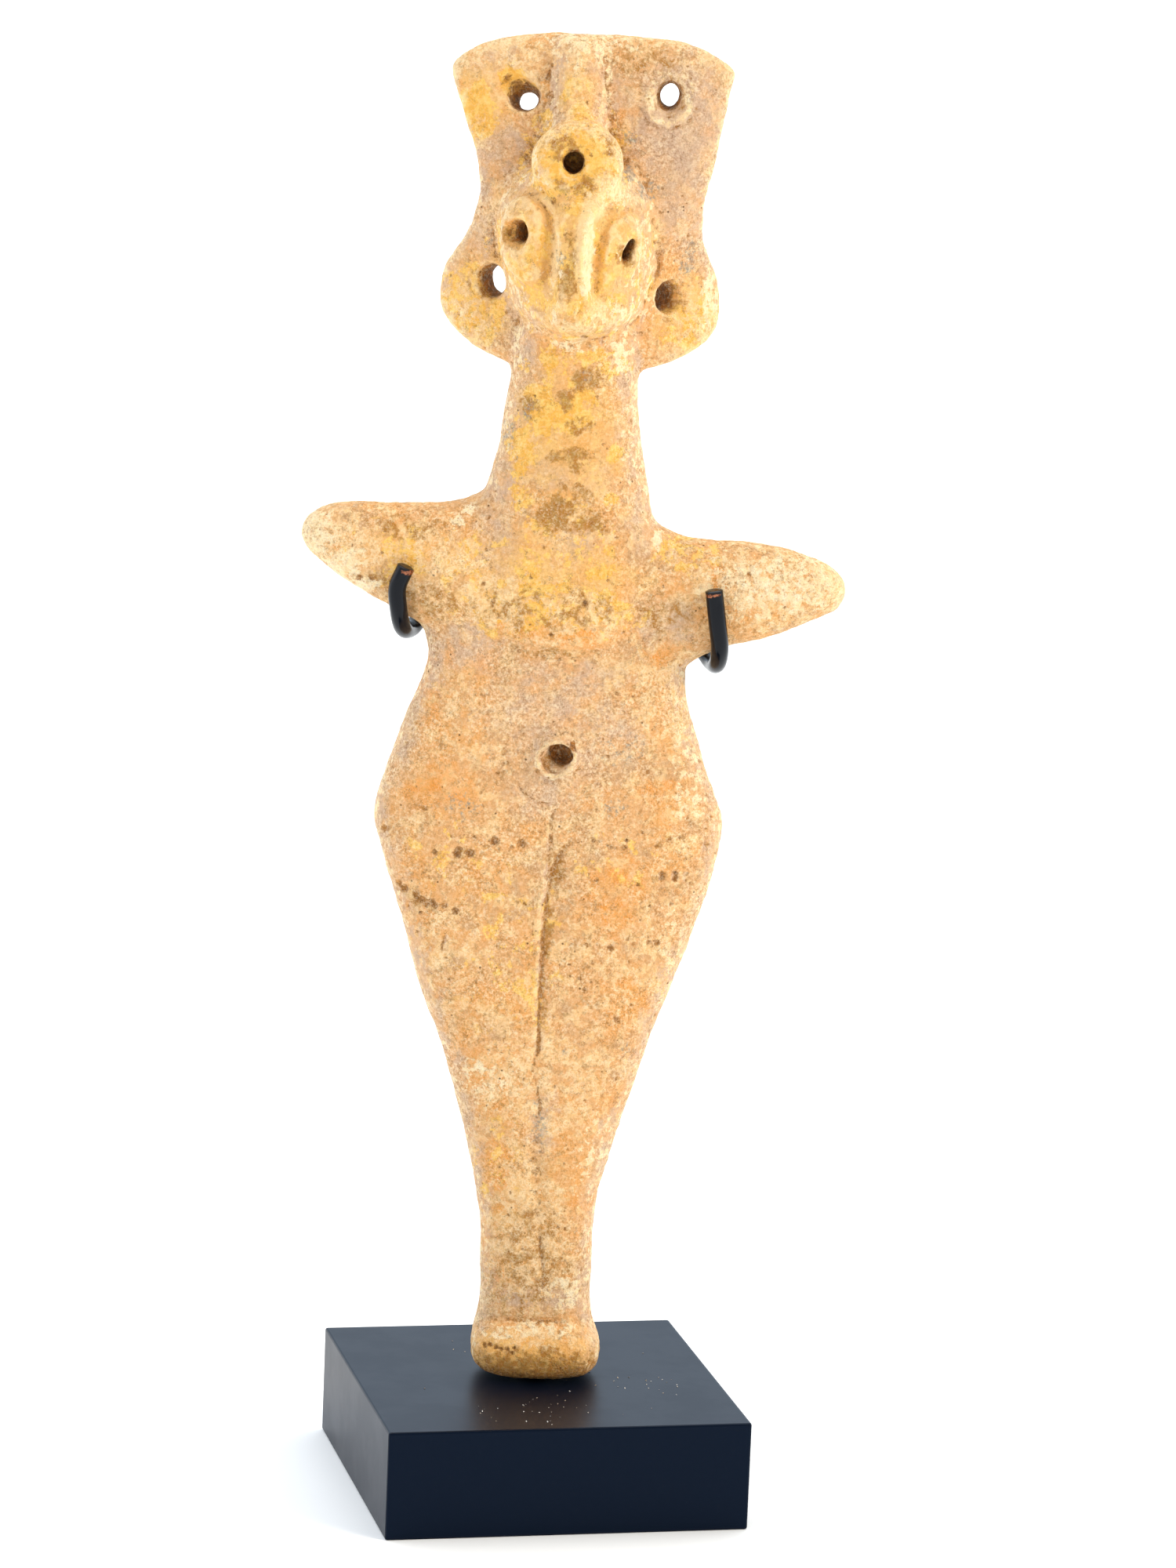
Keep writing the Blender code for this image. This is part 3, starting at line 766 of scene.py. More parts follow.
class Graph:
    """A node tree under way, with the steps that finishes and geometry trees share."""

    def __init__(self, tree: bpy.types.NodeTree) -> None:
        """Work on a tree."""
        self.tree = tree

    def add(self, kind: str, inputs: dict | None = None, **settings: Any) -> bpy.types.Node:
        """Add a node with its settings and links.

        Args:
            kind: Blender's own name of the node.
            inputs: for each input, by name or number, its value or the socket that feeds it.
            settings: the node's own settings.

        Returns:
            The new node.
        """
        node = self.tree.nodes.new(kind)
        for name, value in settings.items():
            setattr(node, name, value)
        for key, value in (inputs or {}).items():
            self.feed(node.inputs[key], value)
        return node

    def feed(self, socket: bpy.types.NodeSocket, value: Any) -> None:
        """Give an input its value, or link the socket that feeds it.

        Args:
            socket: the input.
            value: its value or the socket that feeds it.
        """
        if isinstance(value, bpy.types.NodeSocket):
            self.tree.links.new(value, socket)
        else:
            socket.default_value = value

    def math(self, operation: str, first: Any, second: Any = 0.0) -> Any:
        """Two numbers put together by a Math node's operation."""
        return self.add("ShaderNodeMath", {0: first, 1: second}, operation=operation).outputs[0]

    def ranged(self, value: Any, low: float, high: float, to: Row = (0.0, 1.0), held: bool = True) -> Any:
        """The value as a share of the way from low to high.

        Args:
            value: the value's socket.
            low: what becomes the first value of to.
            high: what becomes the second value of to.
            to: the new range.
            held: whether it is eased and held at the ends of the range, or straight and free.

        Returns:
            The new value's socket.
        """
        inputs = {"Value": value, "From Min": low, "From Max": high, "To Min": to[0], "To Max": to[1]}
        course = "SMOOTHSTEP" if held else "LINEAR"
        return self.add("ShaderNodeMapRange", inputs, interpolation_type=course, clamp=held).outputs["Result"]


class Drawn(Enum):
    """Kinds of random value: the node's name for it, and its sockets for least, most and result."""

    NUMBER = ("FLOAT", 2, 3, 1)
    VECTOR = ("FLOAT_VECTOR", 0, 1, 0)


class GeometryTree(Graph):
    """A geometry tree under way: the inputs it is given and what it hands on."""

    def __init__(self, name: str, inputs: dict[str, tuple[str, ...]]) -> None:
        """Start a tree that takes a geometry and more.

        Args:
            name: the tree's name.
            inputs: the names of its other inputs by their kind, as "Float", "Int" or "Material".
        """
        super().__init__(bpy.data.node_groups.new(name, "GeometryNodeTree"))
        for direction in ("INPUT", "OUTPUT"):
            self.tree.interface.new_socket("Geometry", in_out=direction, socket_type="NodeSocketGeometry")
        for kind, titles in inputs.items():
            for title in titles:
                self.tree.interface.new_socket(title, in_out="INPUT", socket_type="NodeSocket" + kind)
        self.given = self.add("NodeGroupInput").outputs
        self.result = self.add("NodeGroupOutput").inputs["Geometry"]

    def stored(self, name: str) -> Any:
        """A number that the geometry stores for each point."""
        node = self.add("GeometryNodeInputNamedAttribute", {"Name": name}, data_type="FLOAT")
        return node.outputs["Attribute"]

    def drawn(self, kind: Drawn, low: Any, high: Any) -> Any:
        """A value drawn for each point from the tree's seed, between low and high.

        Args:
            kind: whether it is a number or a vector.
            low: the least value.
            high: the most.

        Returns:
            The value's socket.
        """
        data_type, least, most, result = kind.value
        inputs = {least: low, most: high, RANDOM_SEED: self.given["Seed"]}
        return self.add("FunctionNodeRandomValue", inputs, data_type=data_type).outputs[result]

    def scattered(self, surface: Any, density: Any) -> Any:
        """Points scattered over a surface from the tree's seed, so many to its square unit."""
        inputs = {"Mesh": surface, "Density": density, "Seed": self.given["Seed"]}
        return self.add("GeometryNodeDistributePointsOnFaces", inputs).outputs["Points"]

    def hand_on(self, geometry: Any, material: str) -> None:
        """Hand on a geometry, all of it real and in the material of the named input.

        Args:
            geometry: the geometry's socket.
            material: the name of the input that gives its material.
        """
        real = self.add("GeometryNodeRealizeInstances", {"Geometry": geometry}).outputs["Geometry"]
        dressed = self.add("GeometryNodeSetMaterial", {"Geometry": real, "Material": self.given[material]})
        self.feed(self.result, dressed.outputs["Geometry"])

    def run(self, source: bpy.types.Object, values: dict[str, Any], name: str) -> bpy.types.Object:
        """Run the tree on an object and keep the plain mesh that it makes.

        Args:
            source: the object that the tree starts from, which is removed.
            values: the tree's inputs by name.
            name: the plain mesh object's name.

        Returns:
            The plain mesh object.
        """
        modifier = source.modifiers.new(self.tree.name, "NODES")
        modifier.node_group = self.tree
        for item in self.tree.interface.items_tree:
            if item.in_out == "INPUT" and item.name in values:
                modifier[item.identifier] = values[item.name]
        return made_plain(source, name)


class PrickedSkin(GeometryTree):
    """Makes the clay uneven, pocks it with pores and presses the pricked marks in it.

    It works in parts. Its marks are the points of another object, which say how far each one reaches
    and how deep it goes.
    """

    # The smallest pore beside the largest, and how far in from its edge a pit is at its deepest
    LEAST_PORE = 0.35
    PIT_FLOOR = 0.15
    # The noise's values that become the lowest and the highest place of a lump
    LUMPS: Row = (0.25, 0.75)
    LUMP_DETAIL = 2.0

    def __init__(self) -> None:
        """Build the tree."""
        sizes = ("Thumbed Size", "Thumbed Depth", "Grit Size", "Grit Depth")
        pore_sizes = ("Pores Per Square", "Pore Reach", "Pore Depth")
        inputs = {"Object": ("Marks",), "Float": sizes + pore_sizes, "Int": ("Seed",), "Material": ("Clay",)}
        super().__init__("pricked and pocked clay", inputs)
        clay = self.given["Geometry"]
        rise = self.math("SUBTRACT", self.swell(), self.pressed(clay))
        normal = self.add("GeometryNodeInputNormal").outputs[0]
        offset = self.add("ShaderNodeVectorMath", {0: normal, "Scale": rise}, operation="SCALE").outputs[0]
        moved = self.add("GeometryNodeSetPosition", {"Geometry": clay, "Offset": offset})
        self.hand_on(moved.outputs["Geometry"], "Clay")

    def pits(self, clay: Any) -> Any:
        """The marks and the pores as points, each with its reach and depth.

        Args:
            clay: the socket of the clay that the pores lie on.

        Returns:
            The points' socket.
        """
        pores = self.scattered(clay, self.given["Pores Per Square"])
        for name, size in (("reach", "Pore Reach"), ("depth", "Pore Depth")):
            least = self.math("MULTIPLY", self.given[size], self.LEAST_PORE)
            value = self.drawn(Drawn.NUMBER, least, self.given[size])
            inputs = {"Geometry": pores, "Name": name, "Value": value}
            pores = self.add("GeometryNodeStoreNamedAttribute", inputs, data_type="FLOAT").outputs["Geometry"]
        marks = self.add("GeometryNodeObjectInfo", {"Object": self.given["Marks"]}).outputs["Geometry"]
        joined = self.add("GeometryNodeJoinGeometry")
        for points in (self.add("GeometryNodeMeshToPoints", {"Mesh": marks}).outputs["Points"], pores):
            self.feed(joined.inputs["Geometry"], points)
        return joined.outputs["Geometry"]

    def pressed(self, clay: Any) -> Any:
        """How deep the nearest pit goes at each point.

        Args:
            clay: the clay's socket.

        Returns:
            The depth's socket.
        """
        pits = self.pits(clay)
        gap = self.add("GeometryNodeProximity", {0: pits}, target_element="POINTS").outputs["Distance"]
        nearest = self.add("GeometryNodeSampleNearest", {"Geometry": pits}, domain="POINT").outputs["Index"]
        found = []
        for name in ("reach", "depth"):
            inputs = {"Geometry": pits, "Value": self.stored(name), "Index": nearest}
            found.append(self.add("GeometryNodeSampleIndex", inputs, data_type="FLOAT", domain="POINT"))
        reach, depth = (node.outputs["Value"] for node in found)
        inside = self.ranged(self.math("DIVIDE", gap, reach), 1.0, self.PIT_FLOOR)
        return self.math("MULTIPLY", inside, depth)

    def swell(self) -> Any:
        """How far thumbing and grit raise each point.

        Returns:
            The height's socket.
        """
        raised = []
        for kind in ("Thumbed", "Grit"):
            scale = self.math("DIVIDE", 1.0, self.given[f"{kind} Size"])
            lumps = self.add("ShaderNodeTexNoise", {"Scale": scale, "Detail": self.LUMP_DETAIL}).outputs[0]
            centred = self.ranged(lumps, *self.LUMPS, to=(-1.0, 1.0), held=False)
            raised.append(self.math("MULTIPLY", centred, self.given[f"{kind} Depth"]))
        return self.math("ADD", *raised)


class SweptRod(GeometryTree):
    """Sweeps a round rod along each line of edges that it is given."""

    def __init__(self) -> None:
        """Build the tree."""
        super().__init__("swept rod", {"Float": ("Diameter",), "Int": ("Sides",), "Material": ("Paint",)})
        line = self.add("GeometryNodeMeshToCurve", {"Mesh": self.given["Geometry"]}).outputs["Curve"]
        radius = self.math("MULTIPLY", self.given["Diameter"], 0.5)
        inputs = {"Resolution": self.given["Sides"], "Radius": radius}
        section = self.add("GeometryNodeCurvePrimitiveCircle", inputs).outputs["Curve"]
        inputs = {"Curve": line, "Profile Curve": section, "Fill Caps": True}
        self.hand_on(self.add("GeometryNodeCurveToMesh", inputs).outputs["Mesh"], "Paint")


class ScatteredDust(GeometryTree):
    """Scatters flakes over a sheet, thickest where its "amount" attribute is high."""

    # How far a flake is turned at most, and its smallest and largest share of the flake size
    MOST_TURN: Row = (0.5, 0.5, math.tau)
    LEAST_SIZE: Row = (0.25, 0.25, 0.12)
    MOST_SIZE: Row = (1.2, 0.6, 0.3)

    def __init__(self) -> None:
        """Build the tree."""
        inputs = {"Float": ("Flakes Per Square Metre", "Flake Size"), "Int": ("Seed",), "Material": ("Dust",)}
        super().__init__("scattered dust", inputs)
        density = self.math("MULTIPLY", self.stored("amount"), self.given["Flakes Per Square Metre"])
        inputs = {"Radius": self.given["Flake Size"], "Subdivisions": 1}
        flake = self.add("GeometryNodeMeshIcoSphere", inputs).outputs["Mesh"]
        inputs = {
            "Points": self.scattered(self.given["Geometry"], density),
            "Instance": flake,
            "Rotation": self.drawn(Drawn.VECTOR, (0.0, 0.0, 0.0), self.MOST_TURN),
            "Scale": self.drawn(Drawn.VECTOR, self.LEAST_SIZE, self.MOST_SIZE),
        }
        self.hand_on(self.add("GeometryNodeInstanceOnPoints", inputs).outputs["Instances"], "Dust")


@dataclass(frozen=True)
class Cloud:
    """A cloudy pattern: how far apart its patches are in mm, and the noise's values that become 0 and 1.

    detail is how many finer layers it has, curl how far its patches are drawn out into curls, and
    stretch how much finer it is along each axis.
    """

    size_mm: float
    low: float
    high: float
    detail: float = 3.0
    curl: float = 0.0
    stretch: Row = (1.0, 1.0, 1.0)


class Finish(Graph):
    """A material under way: its tree, its shader and the colour laid so far."""

    # How strong the finer layers of every cloudy pattern are
    FINE_LAYERS = 0.68

    def __init__(self, name: str, ground: str, inputs: dict[str, Any]) -> None:
        """Start a finish on one ground colour.

        Args:
            name: what the real material is and how it was made.
            ground: the sRGB colour under all others.
            inputs: values for the shader's inputs by name.
        """
        self.material = bpy.data.materials.new(name)
        self.material.use_nodes = True
        super().__init__(self.material.node_tree)
        self.shader = self.tree.nodes["Principled BSDF"]
        self.colour: Any = linear(ground)
        for title, value in {"Base Color": self.colour, **inputs}.items():
            self.feed(self.shader.inputs[title], value)
        self.where = self.add("ShaderNodeTexCoord").outputs["Object"]

    def noise(self, cloud: Cloud) -> Any:
        """A cloudy pattern from 0 to 1.

        Args:
            cloud: its sizes.

        Returns:
            The pattern's socket.
        """
        place = self.add("ShaderNodeMapping", {"Vector": self.where, "Scale": cloud.stretch}).outputs[0]
        inputs = {"Vector": place, "Scale": MM_PER_METRE / cloud.size_mm, "Detail": cloud.detail}
        inputs |= {"Roughness": self.FINE_LAYERS, "Distortion": cloud.curl}
        return self.ranged(self.add("ShaderNodeTexNoise", inputs).outputs[0], cloud.low, cloud.high)

    def pinholes(self, spacing_mm: float, radius_mm: float) -> Any:
        """Round dots of all sizes up to a radius: 1 in a dot, 0 between them.

        Args:
            spacing_mm: about how far apart they are.
            radius_mm: the radius of the largest.

        Returns:
            The pattern's socket.
        """
        cells = self.add("ShaderNodeTexVoronoi", {"Vector": self.where, "Scale": MM_PER_METRE / spacing_mm})
        share = radius_mm / spacing_mm
        return self.ranged(cells.outputs["Distance"], share, share / 2)

    def stored(self, name: str) -> Any:
        """A number that the piece's mesh stores for each point."""
        return self.add("ShaderNodeAttribute", attribute_name=name).outputs["Fac"]

    def lay(self, colour: str, amount: Any, strength: float = 1.0) -> None:
        """Lay a colour over what is there, by an amount from 0 to 1 times a strength.

        Args:
            colour: the sRGB colour.
            amount: the amount's socket.
            strength: what the amount is multiplied by.
        """
        if strength != 1.0:
            amount = self.math("MULTIPLY", amount, strength)
        inputs = {MIX_AMOUNT: amount, MIX_UNDER: self.colour, MIX_OVER: linear(colour)}
        self.colour = self.add("ShaderNodeMix", inputs, data_type="RGBA").outputs[MIX_RESULT]

    def done(self, roughness: Any = None, height: Any = None, relief_mm: float = 0.0) -> bpy.types.Material:
        """Feed the shader and return the material.

        Args:
            roughness: a pattern for the roughness, if it isn't even.
            height: a pattern for the relief too fine for the mesh.
            relief_mm: how high that relief is, in millimetres.

        Returns:
            The finished material.
        """
        self.feed(self.shader.inputs["Base Color"], self.colour)
        if roughness is not None:
            self.feed(self.shader.inputs["Roughness"], roughness)
        if height is not None:
            inputs = {"Height": height, "Distance": relief_mm / MM_PER_METRE, "Strength": 1.0}
            bump = self.add("ShaderNodeBump", inputs).outputs["Normal"]
            self.feed(self.shader.inputs["Normal"], bump)
        return self.material


@dataclass(frozen=True)
class Deposit:
    """How one stain looks: two colours that mottle it, its flakes, how soft, strong and ragged it is."""

    stain: Stain
    colour: str
    mottle: str
    flake_mm: float
    soft: float
    strength: float
    ragged: float


@dataclass(frozen=True)
class Terracotta:
    """Low-fired clay, hand-modelled and long buried: dead matt, sandy and mottled buff to ochre.

    Its colour changes over a few millimetres, with brown specks in clusters and thin flakes of slip,
    and the deposits lie on it with torn edges.
    """

    buff: str = "#E8B276"
    roughness: float = 0.9
    diffuse_roughness: float = 0.5
    ior: float = 1.4

    # The ground's patches, one over the other: colour, pattern and strength
    patches: tuple[tuple[str, Cloud, float], ...] = (
        ("#EFAE60", Cloud(9.0, 0.42, 0.6, 6.0, 0.4), 0.75),
        ("#CFA477", Cloud(5.5, 0.48, 0.66, 6.0, 0.4), 0.8),
        ("#EDA656", Cloud(3.6, 0.54, 0.66, 6.0, 0.4), 0.55),
        ("#FFDEA4", Cloud(2.8, 0.51, 0.57, 6.0, 0.4), 0.5),
        ("#FFE5B4", Cloud(1.1, 0.55, 0.61, 6.0, 0.2), 0.42),
        ("#B98A50", Cloud(1.3, 0.56, 0.64, 6.0, 0.3), 0.6),
    )

    # The deposits, and the noise's range and detail in their torn edges and in their mottling
    deposits: tuple[Deposit, ...] = (
        Deposit(Stain.ORANGE, "#F2A94E", "#EE9C3E", 4.0, 1.0, 0.8, 0.9),
        # Pink clay, and the same pink on the sides as painted side light
        Deposit(Stain.PINK_AND_SIDE_LIGHT, "#E0C0A2", "#D2B094", 4.5, 1.1, 0.85, 0.8),
        Deposit(Stain.GOLD, "#F1BA66", "#F8CC80", 5.0, 1.3, 0.85, 0.7),
        Deposit(Stain.YELLOW, "#F6BA48", "#FBD072", 2.4, 0.18, 0.85, 1.9),
        Deposit(Stain.FLAKY, "#FFE3B4", "#EDB870", 1.4, 0.10, 0.7, 2.0),
        Deposit(Stain.BROWN, "#AC803C", "#C08030", 1.5, 0.9, 0.85, 1.9),
        Deposit(Stain.BLUE, "#A89F90", "#8C8C86", 0.9, 0.6, 0.6, 1.2),
        # Pale crust, and the same pale colour on the sides as painted side light
        Deposit(Stain.CRUST_AND_SIDE_LIGHT, "#FFF2D2", "#FBDDA8", 1.1, 0.25, 0.85, 1.7),
        # Wear, with a painted highlight on edges, ridges and the brow bands
        Deposit(Stain.WEAR_AND_HIGHLIGHT, "#FFE6B6", "#FBD69A", 1.2, 0.8, 0.55, 0.7),
        # Dirt, with painted shade in creases, hollows and pricks and at the sole
        Deposit(Stain.SHADE_AND_DIRT, "#B67A36", "#8E5E2A", 0.8, 0.7, 0.8, 0.8),
        # Painted shade deep inside the holes
        Deposit(Stain.SHADE_IN_HOLES, "#6A3C0C", "#B26C1A", 1.5, 0.6, 0.9, 0.5),
    )
    torn: Row = (0.2, 0.8, 9.0)
    mottled: Row = (0.46, 0.58, 8.0)
    least_stain: float = 0.15

    # Hairline cracks, in the few places that have any
    crack: str = "#7E522A"
    crack_lines: Cloud = Cloud(1.7, 0.0, 1.0, 4.0)
    cracked_places: Cloud = Cloud(2.6, 0.55, 0.62)
    crack_width: float = 0.03
    crack_strength: float = 0.6

    # Sandy grain: where it is strong, its least strength, how much handling takes from it, its dark
    # and pale colours, and the pattern's values where each of them begins and is strongest
    sandy_places: Cloud = Cloud(6.0, 0.35, 0.65)
    least_sandy: float = 0.4
    polish: float = 0.7
    grain: Cloud = Cloud(0.5, 0.3, 0.7, 4.0, 0.2)
    grain_strength: float = 0.55
    sand: Cloud = Cloud(0.24, 0.32, 0.68)
    sand_strength: float = 0.3
    umber: str = "#A8743C"
    umber_range: Row = (0.45, 0.05)
    chalk: str = "#FFEDC8"
    chalk_range: Row = (0.55, 0.95)

    # Pinholes
    pit: str = "#6A431C"
    pit_spacing_mm: float = 1.9
    pit_radius_mm: float = 0.19
    pitted_places: Cloud = Cloud(5.0, 0.48, 0.58)
    pit_strength: float = 0.85

    # Relief too fine for the mesh: how high it is, and the share that each pattern has in it
    relief_mm: float = 0.09
    grain_height: float = 0.5
    waves: Cloud = Cloud(1.4, 0.3, 0.7, 5.0, 0.2)
    wave_height: float = 1.8
    slip_flakes: Cloud = Cloud(2.8, 0.47, 0.6, 5.0, 0.3)
    pit_depth: float = 0.6

    def flaked(self, clay: Finish, deposit: Deposit) -> Any:
        """How much of a deposit there is, from 0 to 1, with its edge broken up into flakes.

        Args:
            clay: the finish under way.
            deposit: the deposit.

        Returns:
            The amount's socket.
        """
        stain = clay.stored(deposit.stain.value)
        torn = clay.math("MULTIPLY", clay.noise(Cloud(deposit.flake_mm, *self.torn)), deposit.ragged)
        edge, half = 0.5 + deposit.ragged / 2, deposit.soft / 2
        flakes = clay.ranged(clay.math("ADD", stain, torn), edge - half, edge + half)
        return clay.math("MULTIPLY", flakes, clay.ranged(stain, 0.0, self.least_stain))

    def material(self) -> bpy.types.Material:
        """The clay's finish: grounds, mottling, deposits, cracks, grain and a sandy relief.

        Returns:
            The finished material.
        """
        inputs = {"Roughness": self.roughness, "IOR": self.ior, "Diffuse Roughness": self.diffuse_roughness}
        clay = Finish("hand-modelled terracotta", self.buff, inputs)
        for colour, cloud, strength in self.patches:
            clay.lay(colour, clay.noise(cloud), strength)
        for deposit in self.deposits:
            amount = self.flaked(clay, deposit)
            clay.lay(deposit.colour, amount, deposit.strength)
            mottle = clay.noise(Cloud(deposit.flake_mm / 2, *self.mottled))
            clay.lay(deposit.mottle, clay.math("MULTIPLY", amount, mottle), deposit.strength)
        # A crack is where a cloudy pattern passes its middle value
        gap = clay.math("ABSOLUTE", clay.math("SUBTRACT", clay.noise(self.crack_lines), 0.5))
        cracks = clay.ranged(gap, self.crack_width, 0.0)
        cracks = clay.math("MULTIPLY", cracks, clay.noise(self.cracked_places))
        clay.lay(self.crack, cracks, self.crack_strength)
        # Grain is stronger in some places than in others and weakest where handling has polished it
        sandy = clay.math("MULTIPLY", clay.noise(self.sandy_places), 1.0 - self.least_sandy)
        polished = clay.math("MULTIPLY", clay.stored(Stain.GOLD.value), self.polish)
        sandy = clay.math("ADD", sandy, self.least_sandy)
        sandy = clay.math("MULTIPLY", sandy, clay.math("SUBTRACT", 1.0, polished))
        grain = clay.noise(self.grain)
        for pattern, strength in ((grain, self.grain_strength), (clay.noise(self.sand), self.sand_strength)):
            for colour, span in ((self.umber, self.umber_range), (self.chalk, self.chalk_range)):
                share = clay.ranged(pattern, *span, to=(0.0, strength))
                clay.lay(colour, clay.math("MULTIPLY", share, sandy))
        pits = clay.pinholes(self.pit_spacing_mm, self.pit_radius_mm)
        pits = clay.math("MULTIPLY", pits, clay.noise(self.pitted_places))
        clay.lay(self.pit, pits, self.pit_strength)
        relief = clay.math("MULTIPLY", grain, self.grain_height)
        relief = clay.math("ADD", relief, clay.math("MULTIPLY", clay.noise(self.waves), self.wave_height))
        relief = clay.math("ADD", relief, clay.noise(self.slip_flakes))
        relief = clay.math("SUBTRACT", relief, clay.math("MULTIPLY", pits, self.pit_depth))
        return clay.done(height=relief, relief_mm=self.relief_mm)


@dataclass(frozen=True)
class BlackEnamel:
    """Brass rod dipped in black enamel: deep gloss, with bare coppery metal where its ends were cut."""

    enamel: str = "#070B13"
    roughness: float = 0.2
    ior: float = 1.5
    specular: float = 0.18
    gloss: Row = (0.12, 0.26)
    handled: Cloud = Cloud(3.0, 0.3, 0.7)
    # Bare metal: its colours, how far chips fray its edge, and where it begins and is quite bare
    bare: str = "#9A6248"
    tarnish: str = "#2C1D1A"
    chips: Cloud = Cloud(0.5, 0.2, 0.8)
    chipping: float = 0.5
    bare_range: Row = (0.7, 0.85)
    tarnished: Cloud = Cloud(0.7, 0.45, 0.6)

    def material(self) -> bpy.types.Material:
        """The rod's finish, which reads how bare each point is.

        Returns:
            The finished material.
        """
        inputs = {"Roughness": self.roughness, "IOR": self.ior, "Specular IOR Level": self.specular}
        rod = Finish("black enamelled brass rod", self.enamel, inputs)
        chips = rod.math("MULTIPLY", rod.noise(self.chips), self.chipping)
        bare = rod.ranged(rod.math("ADD", rod.stored("bare metal"), chips), *self.bare_range)
        rod.lay(self.bare, bare)
        rod.lay(self.tarnish, rod.math("MULTIPLY", bare, rod.noise(self.tarnished)))
        rod.feed(rod.shader.inputs["Metallic"], bare)
        return rod.done(roughness=rod.ranged(rod.noise(self.handled), 0.0, 1.0, to=self.gloss))


@dataclass(frozen=True)
class Acrylic:
    """Cast acrylic block, sawn and flame-polished, then rubbed satin: blue-black, hazy reflections."""

    block: str = "#050D1B"
    sheen: str = "#AECAF8"
    roughness: float = 0.34
    ior: float = 1.36
    specular: float = 0.25
    gloss: Row = (0.33, 0.36)
    rubbed: Cloud = Cloud(11.0, 0.3, 0.7)
    scuff: str = "#2A323C"
    scuffs: Cloud = Cloud(0.5, 0.66, 0.74, stretch=(1.0, 4.0, 1.0))
    scuff_strength: float = 0.2
    haze: Cloud = Cloud(0.25, 0.2, 0.8)
    haze_mm: float = 0.001

    def material(self) -> bpy.types.Material:
        """The block's finish: a dark ground with fine scuffs and a barely uneven gloss.

        Returns:
            The finished material.
        """
        inputs = {"Roughness": self.roughness, "IOR": self.ior, "Specular IOR Level": self.specular}
        block = Finish("satin cast acrylic", self.block, {**inputs, "Specular Tint": linear(self.sheen)})
        block.lay(self.scuff, block.ranged(block.noise(self.scuffs), 0.0, 1.0, to=(0.0, self.scuff_strength)))
        gloss = block.ranged(block.noise(self.rubbed), 0.0, 1.0, to=self.gloss)
        return block.done(roughness=gloss, height=block.noise(self.haze), relief_mm=self.haze_mm)


@dataclass(frozen=True)
class Dust:
    """Specks of lint and clay dust: pale, dead matt."""

    speck: str = "#B9A68C"
    lint: str = "#E8E4DC"
    mixed: Cloud = Cloud(2.0, 0.4, 0.6)
    roughness: float = 0.95
    ior: float = 1.45

    def material(self) -> bpy.types.Material:
        """The dust's finish.

        Returns:
            The finished material.
        """
        dust = Finish("clay dust", self.speck, {"Roughness": self.roughness, "IOR": self.ior})
        dust.lay(self.lint, dust.noise(self.mixed))
        return dust.done()


